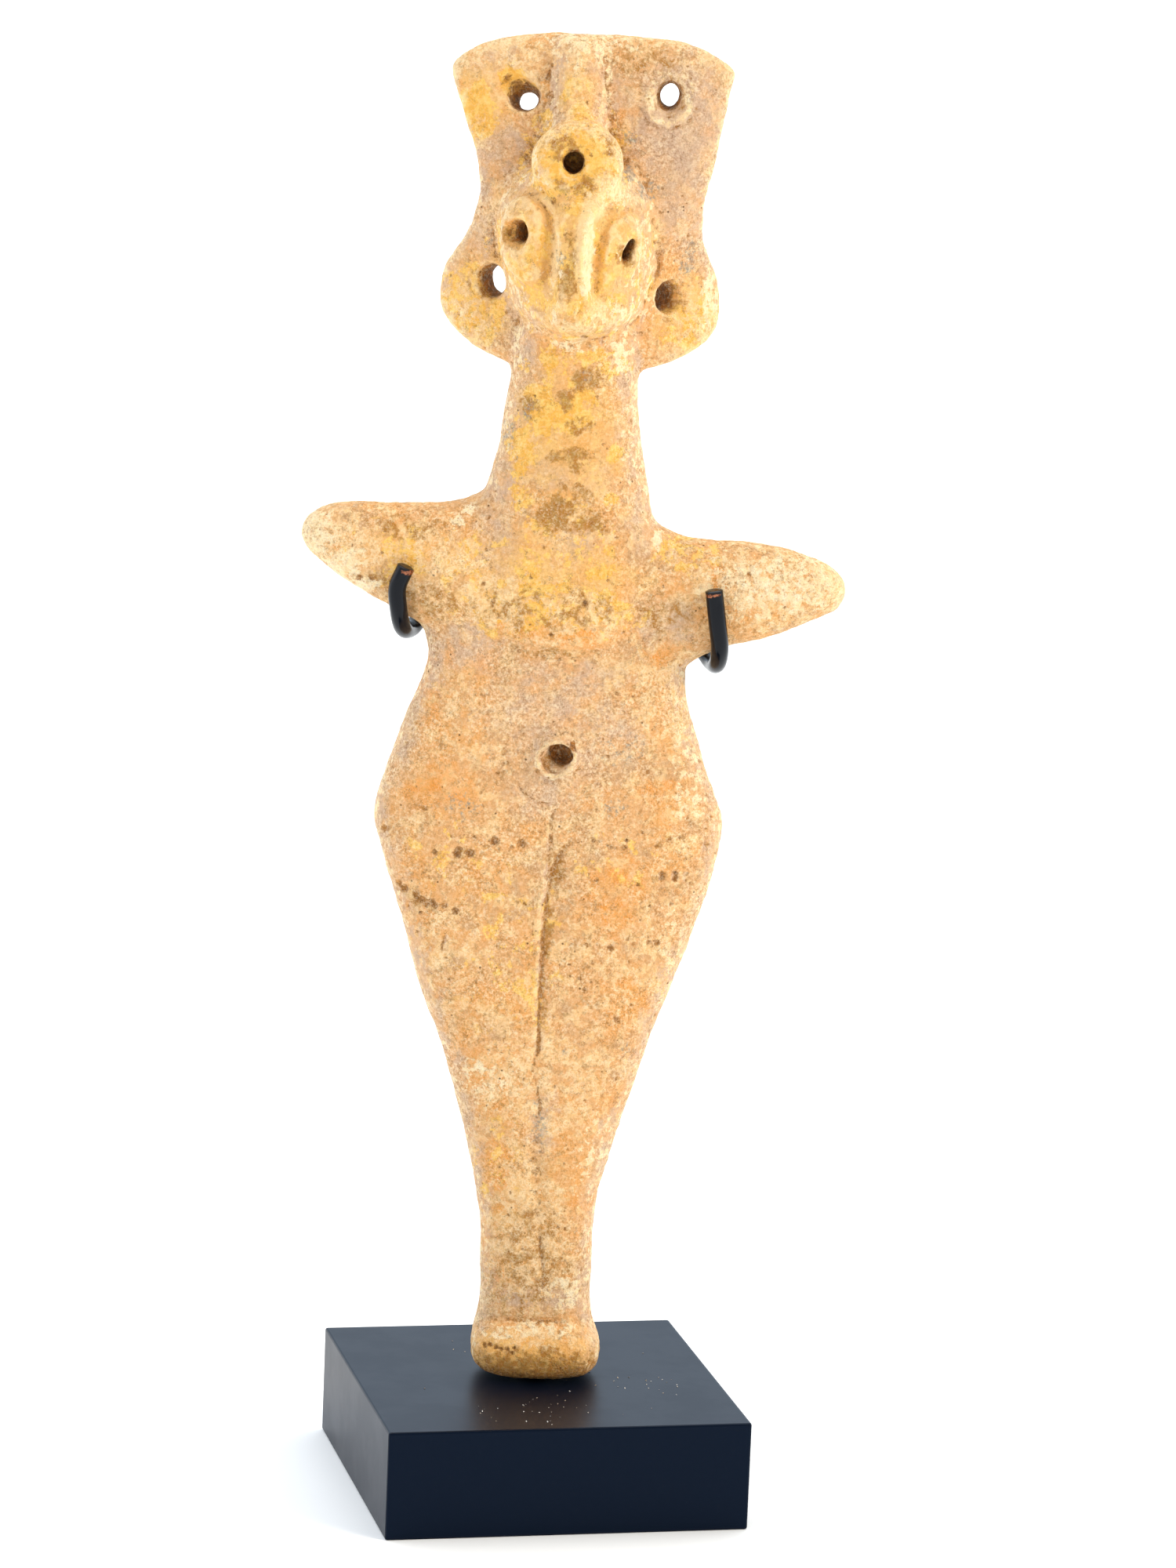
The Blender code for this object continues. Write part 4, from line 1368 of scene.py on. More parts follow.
@dataclass
class ClayFigurine:
    """The fired-clay figurine."""

    turn: float = math.radians(-12.8)
    stand_x: float = 0.0005
    stand_y: float = 0.0022
    box_margin: float = 0.00002
    height_in_parts: float = 184.1
    form_voxel: float = 0.5
    form_smoothing: int = 8
    joined_voxel: float = 0.4
    joined_smoothing: int = 5
    fine_voxel: float = 0.29
    fine_smoothing: int = 2
    smoothing_factor: float = 0.5
    triangles: int = 194_000

    # A depth well in front of the clay, in parts
    IN_FRONT = -30.0
    # Unevenness of the hand-modelled skin: depth, size and shift of its pattern
    THUMBED = ((0.22, 7.0, 0.0), (0.10, 3.1, 5.5), (0.05, 1.5, 2.5))
    # The finer skin's inputs
    FINE_SKIN = {
        "Thumbed Size": 2.4,
        "Thumbed Depth": 0.05,
        "Grit Size": 0.9,
        "Grit Depth": 0.06,
        "Pores Per Square": 0.06,
        "Pore Reach": 0.5,
        "Pore Depth": 0.25,
        "Seed": 7,
    }

    HOLES = (
        Hole((-8.2, -1.1, 175.7), -10, 2.3, 3.2, 1.3, 1.25, 9, pitch=-15),
        Hole((11.3, -1.1, 176.4), 0, 2.2, 2.4, 1.35, 1.7, 9, tilt=8, pitch=-2),
        Hole((-11.7, -0.3, 150.6), -20, 2.2, 2.2, 1.5, 1.95, 10, tilt=-8),
        Hole((12.3, -0.1, 149.4), 41, 2, 1.8, 1.4, 1.8, 12, tilt=8),
        Hole((-1.1, -9.4, 167.6), 0, 1.65, 0.5, 1.32, 1.45, 5.4),
        Hole((-8.4, -8.6, 157.9), -32, 2.05, 1.8, 0.9, 1.3, 4.2, tilt=-6),
        Hole((7.2, -8.6, 156.4), 30, 1.15, 1, 0.5, 1.7, 4, tilt=28),
        Hole((-0.15, -7.2, 87.3), -24, 2.05, 0.5, 1.75, 1.7, 3, pitch=20),
    )
    # Lines and presses on the head
    HEAD_MARKS = (
        Stroke((
            (-7.3, 163.1, 0.7, 0.2), (-6.4, 162.7, 0.75, 0.35), (-5.2, 161.8, 0.8, 0.5),
            (-4.4, 160.8, 0.8, 0.6), (-4.1, 159.1, 1.3, 0.85), (-4, 157.2, 1.4, 0.95),
            (-4, 155.4, 1.4, 0.95), (-4.1, 153.5, 1.2, 0.75), (-4.3, 152.3, 0.75, 0.5),
            (-4.9, 151.6, 0.7, 0.25),
        ), ragged=0.35),
        Stroke((
            (-5.4, 163.4, 0.6, -0.1), (-4.3, 162.3, 0.6, -0.25), (-3.3, 160.7, 0.7, -0.45),
            (-2.9, 159, 0.7, -0.5), (-2.7, 156.7, 0.7, -0.5), (-2.8, 154.5, 0.7, -0.5),
            (-3.3, 152.6, 0.65, -0.35), (-3.5, 150.7, 0.8, -0.3), (-3.2, 148.5, 0.9, -0.15),
        )),
        Stroke((
            (6.6, 161.2, 0.7, 0.2), (5.5, 161.2, 0.75, 0.3), (4.4, 160.4, 0.8, 0.45),
            (3.5, 159.2, 0.85, 0.6), (3, 157.5, 1.3, 0.85), (2.7, 155.6, 1.4, 0.95), (2.6, 153.7, 1.4, 0.9),
            (2.6, 151.8, 1.2, 0.65), (2.6, 150.7, 0.75, 0.45), (3.6, 150.1, 0.7, 0.2),
        ), ragged=0.35),
        Stroke((
            (7.8, 166.6, 2, -0.15), (6.4, 165.4, 2.7, -0.5), (4.9, 164.2, 2.8, -0.7),
            (3.3, 162.7, 2.5, -0.8), (1.9, 161.1, 2.2, -1), (1, 159.4, 1.9, -1), (0.7, 157.2, 1.7, -1),
            (0.7, 154.4, 1.6, -0.95), (1.3, 151.8, 1.15, -0.5), (1.9, 149.5, 1.1, -0.35),
            (2.8, 147.6, 1, -0.1),
        )),
        Stroke((
            (-1, 160.2, 1.4, 0.1), (-1.1, 156.5, 1.6, 0.35), (-1.2, 152.5, 1.7, 0.4),
            (-0.9, 148.5, 1.6, 0.1),
        )),
        Stroke((
            (-8.3, 148.7, 0.8, 0.4), (-7.5, 147, 0.8, 0.55), (-6.3, 146, 0.8, 0.6), (-4.6, 145.2, 0.8, 0.6),
            (-2.9, 144.9, 0.7, 0.6), (-1, 144.9, 0.7, 0.55), (0.7, 144.9, 0.7, 0.6), (2.6, 144.4, 0.7, 0.6),
            (3.9, 144.7, 0.8, 0.6), (5.7, 145.5, 0.8, 0.6), (7.6, 146.7, 0.8, 0.55), (8.6, 149, 0.8, 0.4),
        ), ragged=0.4),
        Stroke((
            (-7.6, 149, 1.1, -0.2), (-5.9, 147.6, 1.1, -0.35), (-3.5, 146.7, 1, -0.35),
            (-0.5, 146.4, 1, -0.3), (2.5, 146.1, 1, -0.35), (5.2, 147, 1.1, -0.35), (7.2, 148.6, 1.1, -0.2),
        )),
        Stroke((
            (-11.7, 159.4, 0.9, 0.25), (-11.5, 157.1, 0.9, 0.35), (-11.2, 155, 0.9, 0.4),
            (-10.2, 152.9, 0.9, 0.4), (-9.1, 150.8, 0.9, 0.3), (-8.3, 148.9, 0.8, 0.2),
        ), ragged=0.4),
        Stroke((
            (9.8, 159.9, 0.9, 0.25), (10.4, 157.5, 0.9, 0.35), (10.6, 155.3, 0.9, 0.5),
            (10.6, 153, 0.8, 0.55), (9.9, 150.9, 0.9, 0.4), (8.8, 148.8, 0.8, 0.2),
        ), ragged=0.5),
        Stroke((
            (-11.9, 159.4, 1, -0.25), (-11.5, 161.6, 1.1, -0.35), (-10.4, 163.4, 1.2, -0.4),
            (-8.6, 164.8, 1.2, -0.35), (-6.4, 165.2, 1, -0.2),
        )),
        Stroke((
            (4, 159.6, 0.8, -0.1), (5.1, 161.8, 0.9, -0.35), (7.1, 162.9, 1, -0.4), (9.1, 161.9, 1, -0.35),
            (10.2, 159.4, 0.9, -0.2), (10.4, 156, 0.8, -0.1),
        )),
        Stroke((
            (-6.3, 164.4, 0.7, 0.15), (-5.1, 163.3, 0.8, 0.25), (-3.2, 162.4, 0.9, 0.3),
            (-1.7, 161.6, 0.9, 0.25), (-0.2, 161.3, 0.9, 0.2), (1.7, 162.1, 0.8, 0.1),
        )),
        Stroke((
            (0.6, 183.9, 0.5, -0.1), (1.9, 180.7, 0.5, -0.18), (2.3, 177.4, 0.5, -0.2),
            (2.8, 174.5, 0.5, -0.2), (3.3, 171.9, 0.5, -0.15),
        )),
        Stroke(((-5.9, 172.2, 1.3, 0.1), (-4.9, 176, 1.3, 0.15), (-4.3, 180.5, 1.2, 0.1))),
        Stroke((
            (8.9, 178.4, 0.7, -0.15), (8.3, 175.7, 0.8, -0.3), (9.1, 173.4, 0.9, -0.45),
            (11, 172.8, 0.9, -0.45), (13.2, 173.7, 0.9, -0.4), (14.3, 175.7, 0.9, -0.35),
            (14.1, 178, 0.8, -0.3), (12.9, 179.6, 0.7, -0.15),
        ), ragged=0.5),
        Ring(-1.1, 167.6, 1.95, 2.05, 0.6, -0.15),
        Dab(-1.2, 168.2, 5, 4.2, 0.8),
        Dab(1.3, 144.8, 0.8, 0.5, 0.5, 12),
        Dab(-9.2, 157.7, 1.5, 2.3, 0.9, -5),
        Dab(6.2, 155.2, 1.3, 2.1, 0.4, 20),
        Dab(-9.7, 177.2, 2.8, 2.6, 1.3),
        Dab(-4.85, 178.5, 0.55, 1.2, 0.5),
        Dab(-6.5, 168.5, 4, 3, 0.4, 20),
        Dab(11, 166.5, 5, 4, 0.4),
        Dab(-15, 147.5, 3, 3.5, -0.4),
        Dab(15.8, 146.5, 3, 3.5, -0.4),
    )
    # Lines and presses on the body
    BODY_MARKS = (
        Stroke((
            (-14.1, 109.6, 1.6, 0.05), (-9.9, 103.6, 1.8, 0.14), (-2.8, 100.8, 1.8, 0.22),
            (1.1, 100.8, 1.8, 0.2), (4.8, 102, 1.8, 0.14), (9.6, 105.8, 1.8, 0.08),
        ), ragged=0.7),
        Stroke((
            (-13.6, 111.6, 1.3, -0.1), (-9.7, 105.8, 1.4, -0.25), (-2.8, 103.2, 1.4, -0.25),
            (1.1, 103.2, 1.4, -0.25), (4.8, 104.4, 1.4, -0.25), (9.2, 108, 1.3, -0.1),
        ), ragged=0.5),
        Stroke((
            (-6.6, 90.3, 1.1, 0.1), (-7.3, 88.6, 1.3, 0.25), (-7.2, 86.8, 1.2, 0.25), (-6.3, 85.1, 1, 0.15),
        ), ragged=0.5),
        Stroke((
            (-5.7, 84, 0.45, 0.15), (-4.9, 82.8, 0.5, 0.3), (-4.2, 82.1, 0.5, 0.25),
            (-3.1, 81.5, 0.45, 0.2), (-1.9, 81.1, 0.5, 0.25), (-0.4, 80.8, 0.45, 0.15),
        ), ragged=0.7),
        Stroke((
            (-0.2, 80.1, 0.45, 0.2), (-0.6, 78.7, 0.5, 0.3), (-0.6, 76.5, 0.5, 0.35),
            (-0.7, 74.3, 0.5, 0.3), (-0.9, 71.5, 0.5, 0.15),
        ), ragged=0.3),
        Stroke((
            (2.3, 76.2, 0.7, 0.25), (1.3, 74.8, 1.1, 0.5), (0.6, 73.3, 1.4, 0.6), (0, 70.5, 1.4, 0.55),
            (-0.4, 66.4, 1.3, 0.5), (-0.7, 62.7, 1.2, 0.5), (-0.8, 59.1, 1.1, 0.45), (-0.9, 55.8, 1, 0.4),
            (-1, 50.6, 0.9, 0.3), (-1.1, 46.3, 0.8, 0.2),
        ), ragged=0.5),
        Stroke((
            (0.9, 74.3, 0.5, 0.25), (-0.1, 72, 0.55, 0.35), (-0.8, 68, 0.5, 0.35), (-1.1, 62.7, 0.5, 0.35),
            (-1.2, 57, 0.45, 0.35), (-1.3, 50.6, 0.45, 0.3), (-1.3, 46.3, 0.4, 0.25),
            (-1.8, 44.3, 0.4, 0.2), (-1.1, 41, 0.4, 0.2), (-0.7, 37.7, 0.4, 0.25), (-1.2, 36.8, 0.4, 0.15),
        ), ragged=0.4),
        Stroke(((1.8, 73, 1.6, 0.2), (1.2, 69, 1.8, 0.3), (0.8, 63, 1.8, 0.25), (0.4, 56, 1.6, 0.15))),
        Stroke((
            (-1.3, 73, 0.5, -0.1), (-1.7, 69.2, 0.55, -0.22), (-1.9, 65.2, 0.55, -0.22),
            (-1.8, 56.9, 0.5, -0.15),
        )),
        Stroke(((-1, 34, 1, 0.12), (-0.9, 29, 1.1, 0.12), (-0.4, 24.8, 0.8, 0.05)), ragged=0.5),
        Stroke(((0, 19.9, 0.4, 0.3), (0.5, 16, 0.45, 0.3), (0.9, 12.4, 0.35, 0.15))),
        Stroke(((0.9, 12, 1.4, 0.1), (-0.2, 22, 1.8, 0.3), (-0.8, 34, 1.8, 0.25), (-1, 44, 1.6, 0.1))),
        Stroke(((-7.5, 7.6, 0.9, 0.35), (-2, 7.9, 0.9, 0.4), (3, 7.8, 0.9, 0.35), (7, 7.3, 0.9, 0.25))),
        Stroke(((-14.5, 62, 0.35, 0.2), (-14.7, 60.9, 0.4, 0.45), (-14.9, 59.8, 0.35, 0.3))),
        Stroke(((-1.3, 90.5, 0.35, 0.25), (0.5, 90.6, 0.35, 0.25))),
        Ring(-0.3, 87.2, 2.5, 2.4, 0.6, -0.3),
        Dab(-2.6, 85.4, 0.7, 0.6, 0.15),
        Dab(2.1, 89.3, 0.8, 0.9, 0.25),
        Dab(-2.4, 89.4, 0.6, 0.6, 0.2),
        Dab(-21, 79, 5, 7, 0.3),
        Dab(10, 88, 6, 7, 0.25, 20),
        Dab(-17.5, 79.5, 1.5, 0.8, 0.35),
        Dab(-26, 110.5, 0.9, 0.7, 0.4),
    )
    # Pricked marks: x, height, reach and depth
    PRICKED = (
        (-23.2, 76, 0.7, 0.4), (-18.1, 74.3, 0.5, 0.15), (-16.3, 73.5, 0.5, 0.4), (-14, 75.9, 0.45, 0.15),
        (-13.3, 73.4, 0.7, 0.7), (-13, 74, 0.6, 0.6), (-11.5, 73.6, 0.8, 0.6), (-11, 75.8, 0.75, 0.2),
        (-8.2, 75.5, 0.8, 0.7), (-5.9, 74.8, 0.45, 0.3), (-4.5, 75.3, 0.85, 0.45), (3.1, 75.9, 0.5, 0.2),
        (5.2, 76.2, 0.5, 0.25), (6, 76.1, 0.45, 0.25), (7.6, 75.2, 0.5, 0.3), (9.7, 76.3, 0.4, 0.6),
        (9.5, 75.3, 0.5, 0.3), (13.8, 75.5, 0.5, 0.2), (15.4, 76.5, 0.6, 0.3), (16.9, 76.7, 0.5, 0.25),
        (20.5, 75.6, 0.45, 0.3), (-21, 68.5, 0.65, 0.4), (-20.2, 67.9, 0.7, 0.5), (-18.7, 67.3, 0.65, 0.5),
        (-18.4, 66.7, 0.6, 0.5), (-17.7, 66.6, 0.65, 0.5), (-17.1, 66.2, 0.65, 0.5),
        (-16.5, 66.4, 0.65, 0.5), (-16, 66, 0.6, 0.5), (-14.8, 66.1, 0.75, 0.3), (-13.2, 65.5, 0.65, 0.5),
        (-17.9, 64.7, 0.4, 0.3), (-18.3, 61.8, 0.4, 0.2), (14.7, 71.7, 0.5, 0.45), (14.7, 71, 0.5, 0.5),
        (16.5, 71.8, 0.5, 0.55), (16.5, 71, 0.55, 0.5), (18, 71.6, 0.45, 0.3), (18, 70.8, 0.4, 0.2),
        (18.6, 70.2, 0.4, 0.35), (5.8, 70.6, 0.45, 0.25), (11.5, 70.1, 0.4, 0.35), (16.1, 67.4, 0.45, 0.3),
        (13.1, 67.2, 0.35, 0.25), (2.8, 61.4, 0.6, 0.2), (4.9, 61.6, 0.6, 0.3), (6.2, 61.7, 0.45, 0.2),
        (8.1, 61.3, 0.6, 0.5), (10.4, 62.5, 0.45, 0.3), (11.3, 61.8, 0.5, 0.2), (13.3, 62, 0.5, 0.3),
        (14.4, 61.9, 0.55, 0.35), (2.6, 58.7, 0.45, 0.3), (5.7, 56.4, 0.35, 0.3), (4.9, 55.3, 0.5, 0.3),
        (9.4, 51.1, 0.65, 0.45), (11.3, 53.1, 0.35, 0.3), (-6.9, 4.7, 0.4, 0.45), (-6.1, 4.9, 0.4, 0.45),
        (-5.3, 4.7, 0.42, 0.5), (-4.6, 4.5, 0.38, 0.4), (-3.8, 4.6, 0.4, 0.4), (-3.1, 4.1, 0.38, 0.4),
        (-2.8, 4.8, 0.35, 0.35), (2.7, 108.7, 0.5, 0.6), (-1.6, 104.2, 0.35, 0.4), (-27.8, 110.4, 0.6, 0.4),
    )
    # Stained places: x, height, half width, half height and strength, and a tilt where there is one
    STAINS = {
        Stain.GOLD: (
            (-0.5, 156, 11.5, 12, 1), (-1, 167.4, 4.6, 4.6, 1), (-14, 175, 6, 7, 0.6),
            (-14, 147.5, 6, 7, 0.6), (15, 147, 5, 6.5, 0.5), (-1, 175.5, 3, 6, 0.5),
            (-0.5, 131, 8, 11, 0.75), (-2, 111, 14, 8, 0.6), (-22, 114, 9, 4, 0.3), (-1, 3, 11, 4, 1),
            (-9.4, 177.4, 2.6, 2.4, 0.9, 30), (-2, 24, 8, 12, 0.2),
        ),
        # Pale patches on the brow bands and ridges of the face: painted highlight with wear
        Stain.WEAR_AND_HIGHLIGHT: (
            (0.8, 157, 1.4, 7, 1), (1.8, 162, 1.9, 2.8, 1, -30), (4.2, 164.4, 3.2, 1.8, 1, -35),
            (-3, 156, 0.8, 6, 0.8), (-4.3, 162.2, 0.8, 1.8, 0.7, 50), (-11.6, 160.5, 1, 3, 0.6, -20),
            (3.2, 148.4, 1.6, 2, 0.6, 20), (-1.6, 176, 0.6, 6, 0.5, -8), (2.6, 176, 0.5, 6, 0.7, -8),
            (7.2, 162.6, 2.4, 0.9, 0.5), (10.6, 158, 0.7, 3, 0.5),
        ),
        Stain.YELLOW: (
            (-14.2, 173.4, 3.4, 4, 0.95, 15), (-9.5, 177.5, 3.5, 3, 0.8), (-0.6, 167.2, 8, 7.5, 1),
            (-1.4, 175, 2.6, 5, 0.55), (-0.8, 153.5, 13, 11, 0.4), (-14.5, 147, 5, 6.5, 0.78),
            (15.5, 146, 4.5, 6, 0.68), (-4.4, 134, 2.8, 4.6, 1, 15), (-0.2, 133.5, 3.4, 3.2, 0.9),
            (-6.6, 128.8, 2.4, 5, 0.85), (2.2, 136.2, 2, 2.2, 0.8), (6, 128.6, 1.2, 1.6, 0.8),
            (5.6, 122.4, 1, 1.4, 0.7), (-2, 140.5, 6, 3, 0.5), (-6.8, 122.6, 2, 2.6, 0.9),
            (-1, 117, 8, 5.5, 0.4), (4.8, 112.8, 3, 1.4, 0.85, 20), (-14, 113.5, 6, 5, 0.45, 20),
            (-24, 114, 8, 4.5, 0.5), (-7, 108.4, 9, 4.8, 0.75, 8), (4.5, 108, 7, 4, 0.7, -8),
            (16.5, 115, 5, 3, 0.55), (-16.2, 168.5, 2.4, 4, 0.6), (-5, 60, 9, 14, 0.18),
            (9, 74, 8, 5, 0.25), (-6, 30, 4, 8, 0.2), (-15, 73, 6, 6, 0.2), (4.5, 141.5, 5, 3, 0.45),
        ),
        Stain.BROWN: (
            (1.8, 138.6, 2.4, 1.6, 0.9, 10), (-1, 136, 1.6, 1.9, 0.6), (1.1, 132.4, 1.8, 1.3, 0.8),
            (0, 128.4, 3.2, 1.1, 0.9, 5), (0.6, 127.2, 1.8, 1.5, 0.8), (-1.4, 120.6, 3, 3.2, 0.95),
            (3, 119.6, 2.6, 2, 0.8), (0.5, 123.4, 3, 1.6, 0.6, -20), (-5.6, 134.4, 1.7, 1.7, 0.65),
            (-1.2, 152.6, 1.7, 4.2, 0.7), (-1, 157.6, 1.2, 1.6, 0.45), (-3, 164.5, 1.8, 1.4, 0.45),
            (0.6, 164.4, 1.4, 1, 0.4), (-22, 117.6, 6, 1.6, 0.5), (0, 1.6, 11, 3.4, 1), (-1, 16, 6, 9, 0.3),
            (-2, 107.5, 12, 3.5, 0.3), (-18, 107.5, 4, 3, 0.4), (13.5, 107, 4, 3.5, 0.35),
            (-8.8, 158, 1.6, 2.2, 0.5), (6.3, 155.4, 1.4, 2, 0.5, 20), (4.2, 170.2, 2.2, 2.4, 0.4),
            (11.3, 176.4, 2.3, 2.7, 0.9, 8), (-0.6, 86.9, 1.5, 1.4, 0.8), (-12.6, 150.2, 2.2, 2.6, 0.6),
            (12.6, 149, 2.4, 2.6, 0.6), (-2.4, 169.6, 2.6, 2, 0.6), (0.2, 164.6, 2.2, 1.6, 0.5),
            # The narrow patches down the leg line, at heights 71.5, 63 and 54, paint its shade along with its
            # stain
            (-1, 101.8, 7, 0.8, 0.3), (0.3, 71.5, 1.2, 4.5, 0.6, -5), (-0.6, 63, 0.8, 7, 0.6, -2),
            (-0.9, 54, 0.7, 6, 0.4), (-18.5, 66.6, 3.5, 0.9, 0.5, -22), (-12, 73.4, 2.6, 0.8, 0.45),
            (-24, 109.5, 6, 1.6, 0.4, -20), (8, 181, 5, 2, 0.3),
        ),
        Stain.PINK_AND_SIDE_LIGHT: (
            (13, 172, 8, 11, 0.85), (-10.5, 168, 5.5, 5, 0.5), (-12.5, 180, 6, 4, 0.35),
            (13, 160.5, 6, 6, 0.6), (-12.6, 158.5, 3, 6, 0.6), (-8.4, 130.5, 2.4, 12, 0.6),
            (3, 176.5, 3, 4, 0.6), (0.5, 178, 3, 3, 0.4), (0, 91, 13, 9, 0.5), (0, 126, 6, 3, 0.5),
            (-2, 83, 6, 5, 0.5), (-9.5, 116.5, 3.5, 5, 0.5), (-12.5, 102, 7, 4, 0.5), (13, 106, 5, 4, 0.5),
            (0, 98, 12, 3, 0.4), (1, 116, 4, 3, 0.5), (-0.5, 36, 3, 8, 0.45), (0, 11.5, 7, 2.5, 0.5),
        ),
        Stain.BLUE: (
            (6.2, 166, 1.4, 1.6, 0.7), (8.8, 163.8, 1.8, 1.5, 0.6, -30), (15, 156.3, 1, 1.4, 0.65),
            (14.6, 153.6, 1.2, 2, 0.55), (6.4, 170.6, 1.4, 1, 0.55), (-2.4, 155.2, 0.9, 1.2, 0.6),
            (-5.8, 134, 1.4, 1.6, 0.3), (-8.6, 130.8, 1.4, 2.2, 0.4), (-11, 126.5, 1.2, 2.4, 0.3),
            (-0.6, 36, 1.2, 5, 0.45), (1.5, 139, 1.2, 0.9, 0.35), (2.6, 46.5, 0.9, 0.8, 0.5),
            (-11.8, 157, 0.8, 2, 0.4), (9, 88.5, 5, 3, 0.2), (-12.5, 80, 3, 2.4, 0.35),
            (8, 80.5, 2, 1.5, 0.35), (11, 47, 1.2, 1, 0.4),
        ),
        # Pale crust; the patches on the brow band at x 1.3 and 4.4 are painted highlight, and those down the
        # right side at x 17 to 18 and on the neck at x 7.8 paint the light that bleaches that side
        Stain.CRUST_AND_SIDE_LIGHT: (
            (1.3, 156, 1, 8, 0.85), (4.4, 164.2, 3.2, 1.9, 0.6, -40), (6.2, 142.5, 1.4, 4, 0.6, 15),
            (-7.6, 143, 1.2, 3.5, 0.6), (18, 149, 1.6, 5, 0.6), (-34, 116, 3.4, 4, 0.8),
            (-30.5, 112, 4, 2.2, 0.75, 35), (-27, 109, 2.6, 1.6, 0.8, 30), (0, 183, 9, 2, 0.5),
            (12.5, 120, 1.4, 1.8, 0.6), (-14.8, 118.6, 1.4, 1.2, 0.7), (-8, 42, 5, 4, 0.4),
            (8, 30, 4, 8, 0.35), (4, 12, 3, 3, 0.5), (-5, 6.4, 3, 1, 0.4), (29, 112, 12, 5.5, 0.55),
            (18, 86, 3, 12, 0.3), (17, 60, 2, 10, 0.3, 15), (1, 7.2, 6, 1.2, 0.5), (-18, 180, 2, 3, 0.3),
            (8.7, 175.4, 0.6, 1.8, 0.6), (10.4, 173, 2, 0.5, 0.75, -10), (13.9, 175.4, 0.5, 1.9, 0.6),
            (9.8, 179.3, 1.8, 0.5, 0.5), (-0.8, 84.9, 1.8, 0.6, 0.3), (-2.7, 86.4, 0.6, 1.4, 0.3),
            (7.8, 131, 1.2, 9, 0.25), (12.1, 117.2, 0.7, 1.7, 0.85), (-13.4, 120, 1, 0.9, 0.9),
            (-28.5, 110.6, 2, 2.4, 0.7), (-6.6, 164.6, 3, 1, 0.4), (-1.6, 182, 1.2, 3.5, 0.5),
            (3, 178, 0.6, 6, 0.5), (6, 148, 5, 2, 0.4), (0, 143.2, 5, 1.2, 0.35),
        ),
        Stain.FLAKY: (
            (-30, 114, 8, 5, 0.85), (-17, 113.5, 9, 5, 0.6), (27, 111.5, 12, 6, 0.75),
            (-10, 108, 7, 5, 0.8), (2, 107, 9, 4, 0.6), (-1.5, 20, 7, 14, 0.75), (0, 42, 12, 9, 0.6),
            (0, 6.2, 8, 2, 0.55), (-1, 118, 3, 3, 0.4), (14, 96, 8, 8, 0.5), (-14, 60, 6, 8, 0.4),
            (12, 60, 7, 9, 0.4), (-15, 92, 5, 6, 0.4), (-10, 181, 8, 3, 0.6), (-15.5, 146, 4, 6, 0.5),
            (16.5, 146, 4, 6, 0.5), (8.5, 133, 2, 10, 0.15),
        ),
        Stain.ORANGE: (
            (-18, 95.5, 4, 6, 0.6, 15), (-16.4, 82.5, 6, 4, 0.5), (13.8, 83.2, 4, 3, 0.35),
            (9, 68, 7, 6, 0.5), (10, 54, 6, 5, 0.45), (-1, 105.2, 10.5, 3.4, 0.8),
            (20.5, 112.5, 2, 2.5, 0.7), (13.5, 101.5, 2.5, 2, 0.7), (-7, 27, 4, 7, 0.6),
            # The strips at x -4.2 and 2.7 lie in the grooves round the eyes and paint their warm shade along
            # with the blush
            (-1.4, 122.8, 0.9, 0.7, 1), (-4.2, 157, 1.2, 5, 0.95), (2.7, 155.3, 1.2, 5, 0.95),
            (12.9, 149.8, 0.9, 0.9, 0.9), (-9.2, 158, 1.3, 2.2, 1), (6.2, 155.6, 1.2, 2, 0.8, 20),
            (16.8, 172, 1.6, 2.2, 0.45), (-16, 175, 2.5, 4, 0.6), (-1, 3.6, 9, 3, 0.8),
            (-13, 100.5, 3.5, 3, 0.6), (5, 25, 3, 3, 0.5), (-10, 47, 5, 8, 0.35), (16.5, 176.5, 2, 3, 0.4),
            (8, 50, 4, 6, 0.3), (-6, 16, 3, 5, 0.4), (10, 37, 3, 4, 0.3),
        ),
    }
    # How far a point faces the front where stains begin to show on it, and show fully
    STAINED_FRONT = (-0.35, 0.1)
    # Painted side light on the figure's sides, as pale crust and pink, by how far they face sideways
    SIDE_LIGHT_PALE = Gathering(0.6, 0.95, 0.35)
    SIDE_LIGHT_PINK = Gathering(0.3, 0.75, 0.6)
    # Wear and painted highlight on edges, dirt and painted shade in hollows, by their depth:
    # relaxing the skin more finds broader ones
    FINE_RELAXING = 8
    BROAD_RELAXING = 60
    EDGE_WEAR_AND_HIGHLIGHT = Gathering(0.03, 0.12, 0.5)
    RIDGE_WEAR_AND_HIGHLIGHT = Gathering(0.15, 0.6, 0.3)
    CREASE_SHADE_AND_DIRT = Gathering(0.02, 0.14, 0.8)
    HOLLOW_SHADE_AND_DIRT = Gathering(0.12, 0.7, 0.3)
    PRICK_SHADE_AND_DIRT = 2.0
    # By height above the sole: no wear and no painted highlight below, and the sole is painted darker,
    # with dirt and painted shade
    ABOVE_FOOT = Gathering(3.0, 9.0, 1.0)
    ABOVE_SOLE = Gathering(0.5, 3.5, 1.0)
    SOLE_SHADE_AND_DIRT = 0.6
    # The face, whose hollows get less painted shade and dirt: x, height, half width and half height,
    # and how much less
    FACE_WITH_LIGHTER_HOLLOWS = (-0.5, 156.0, 11.0, 10.0)
    FACE_HOLLOWS_LIGHTENED = 0.75

    def __post_init__(self) -> None:
        """Read the figure's height and its sole from the frame."""
        low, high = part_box("figurine")
        self.box = (np.array(low), np.array(high))
        self.part = (high.z - low.z) / self.height_in_parts
        stand = Matrix.Translation((self.stand_x, self.stand_y, low.z))
        self.stand = stand @ Matrix.Rotation(self.turn, 4, "Z")

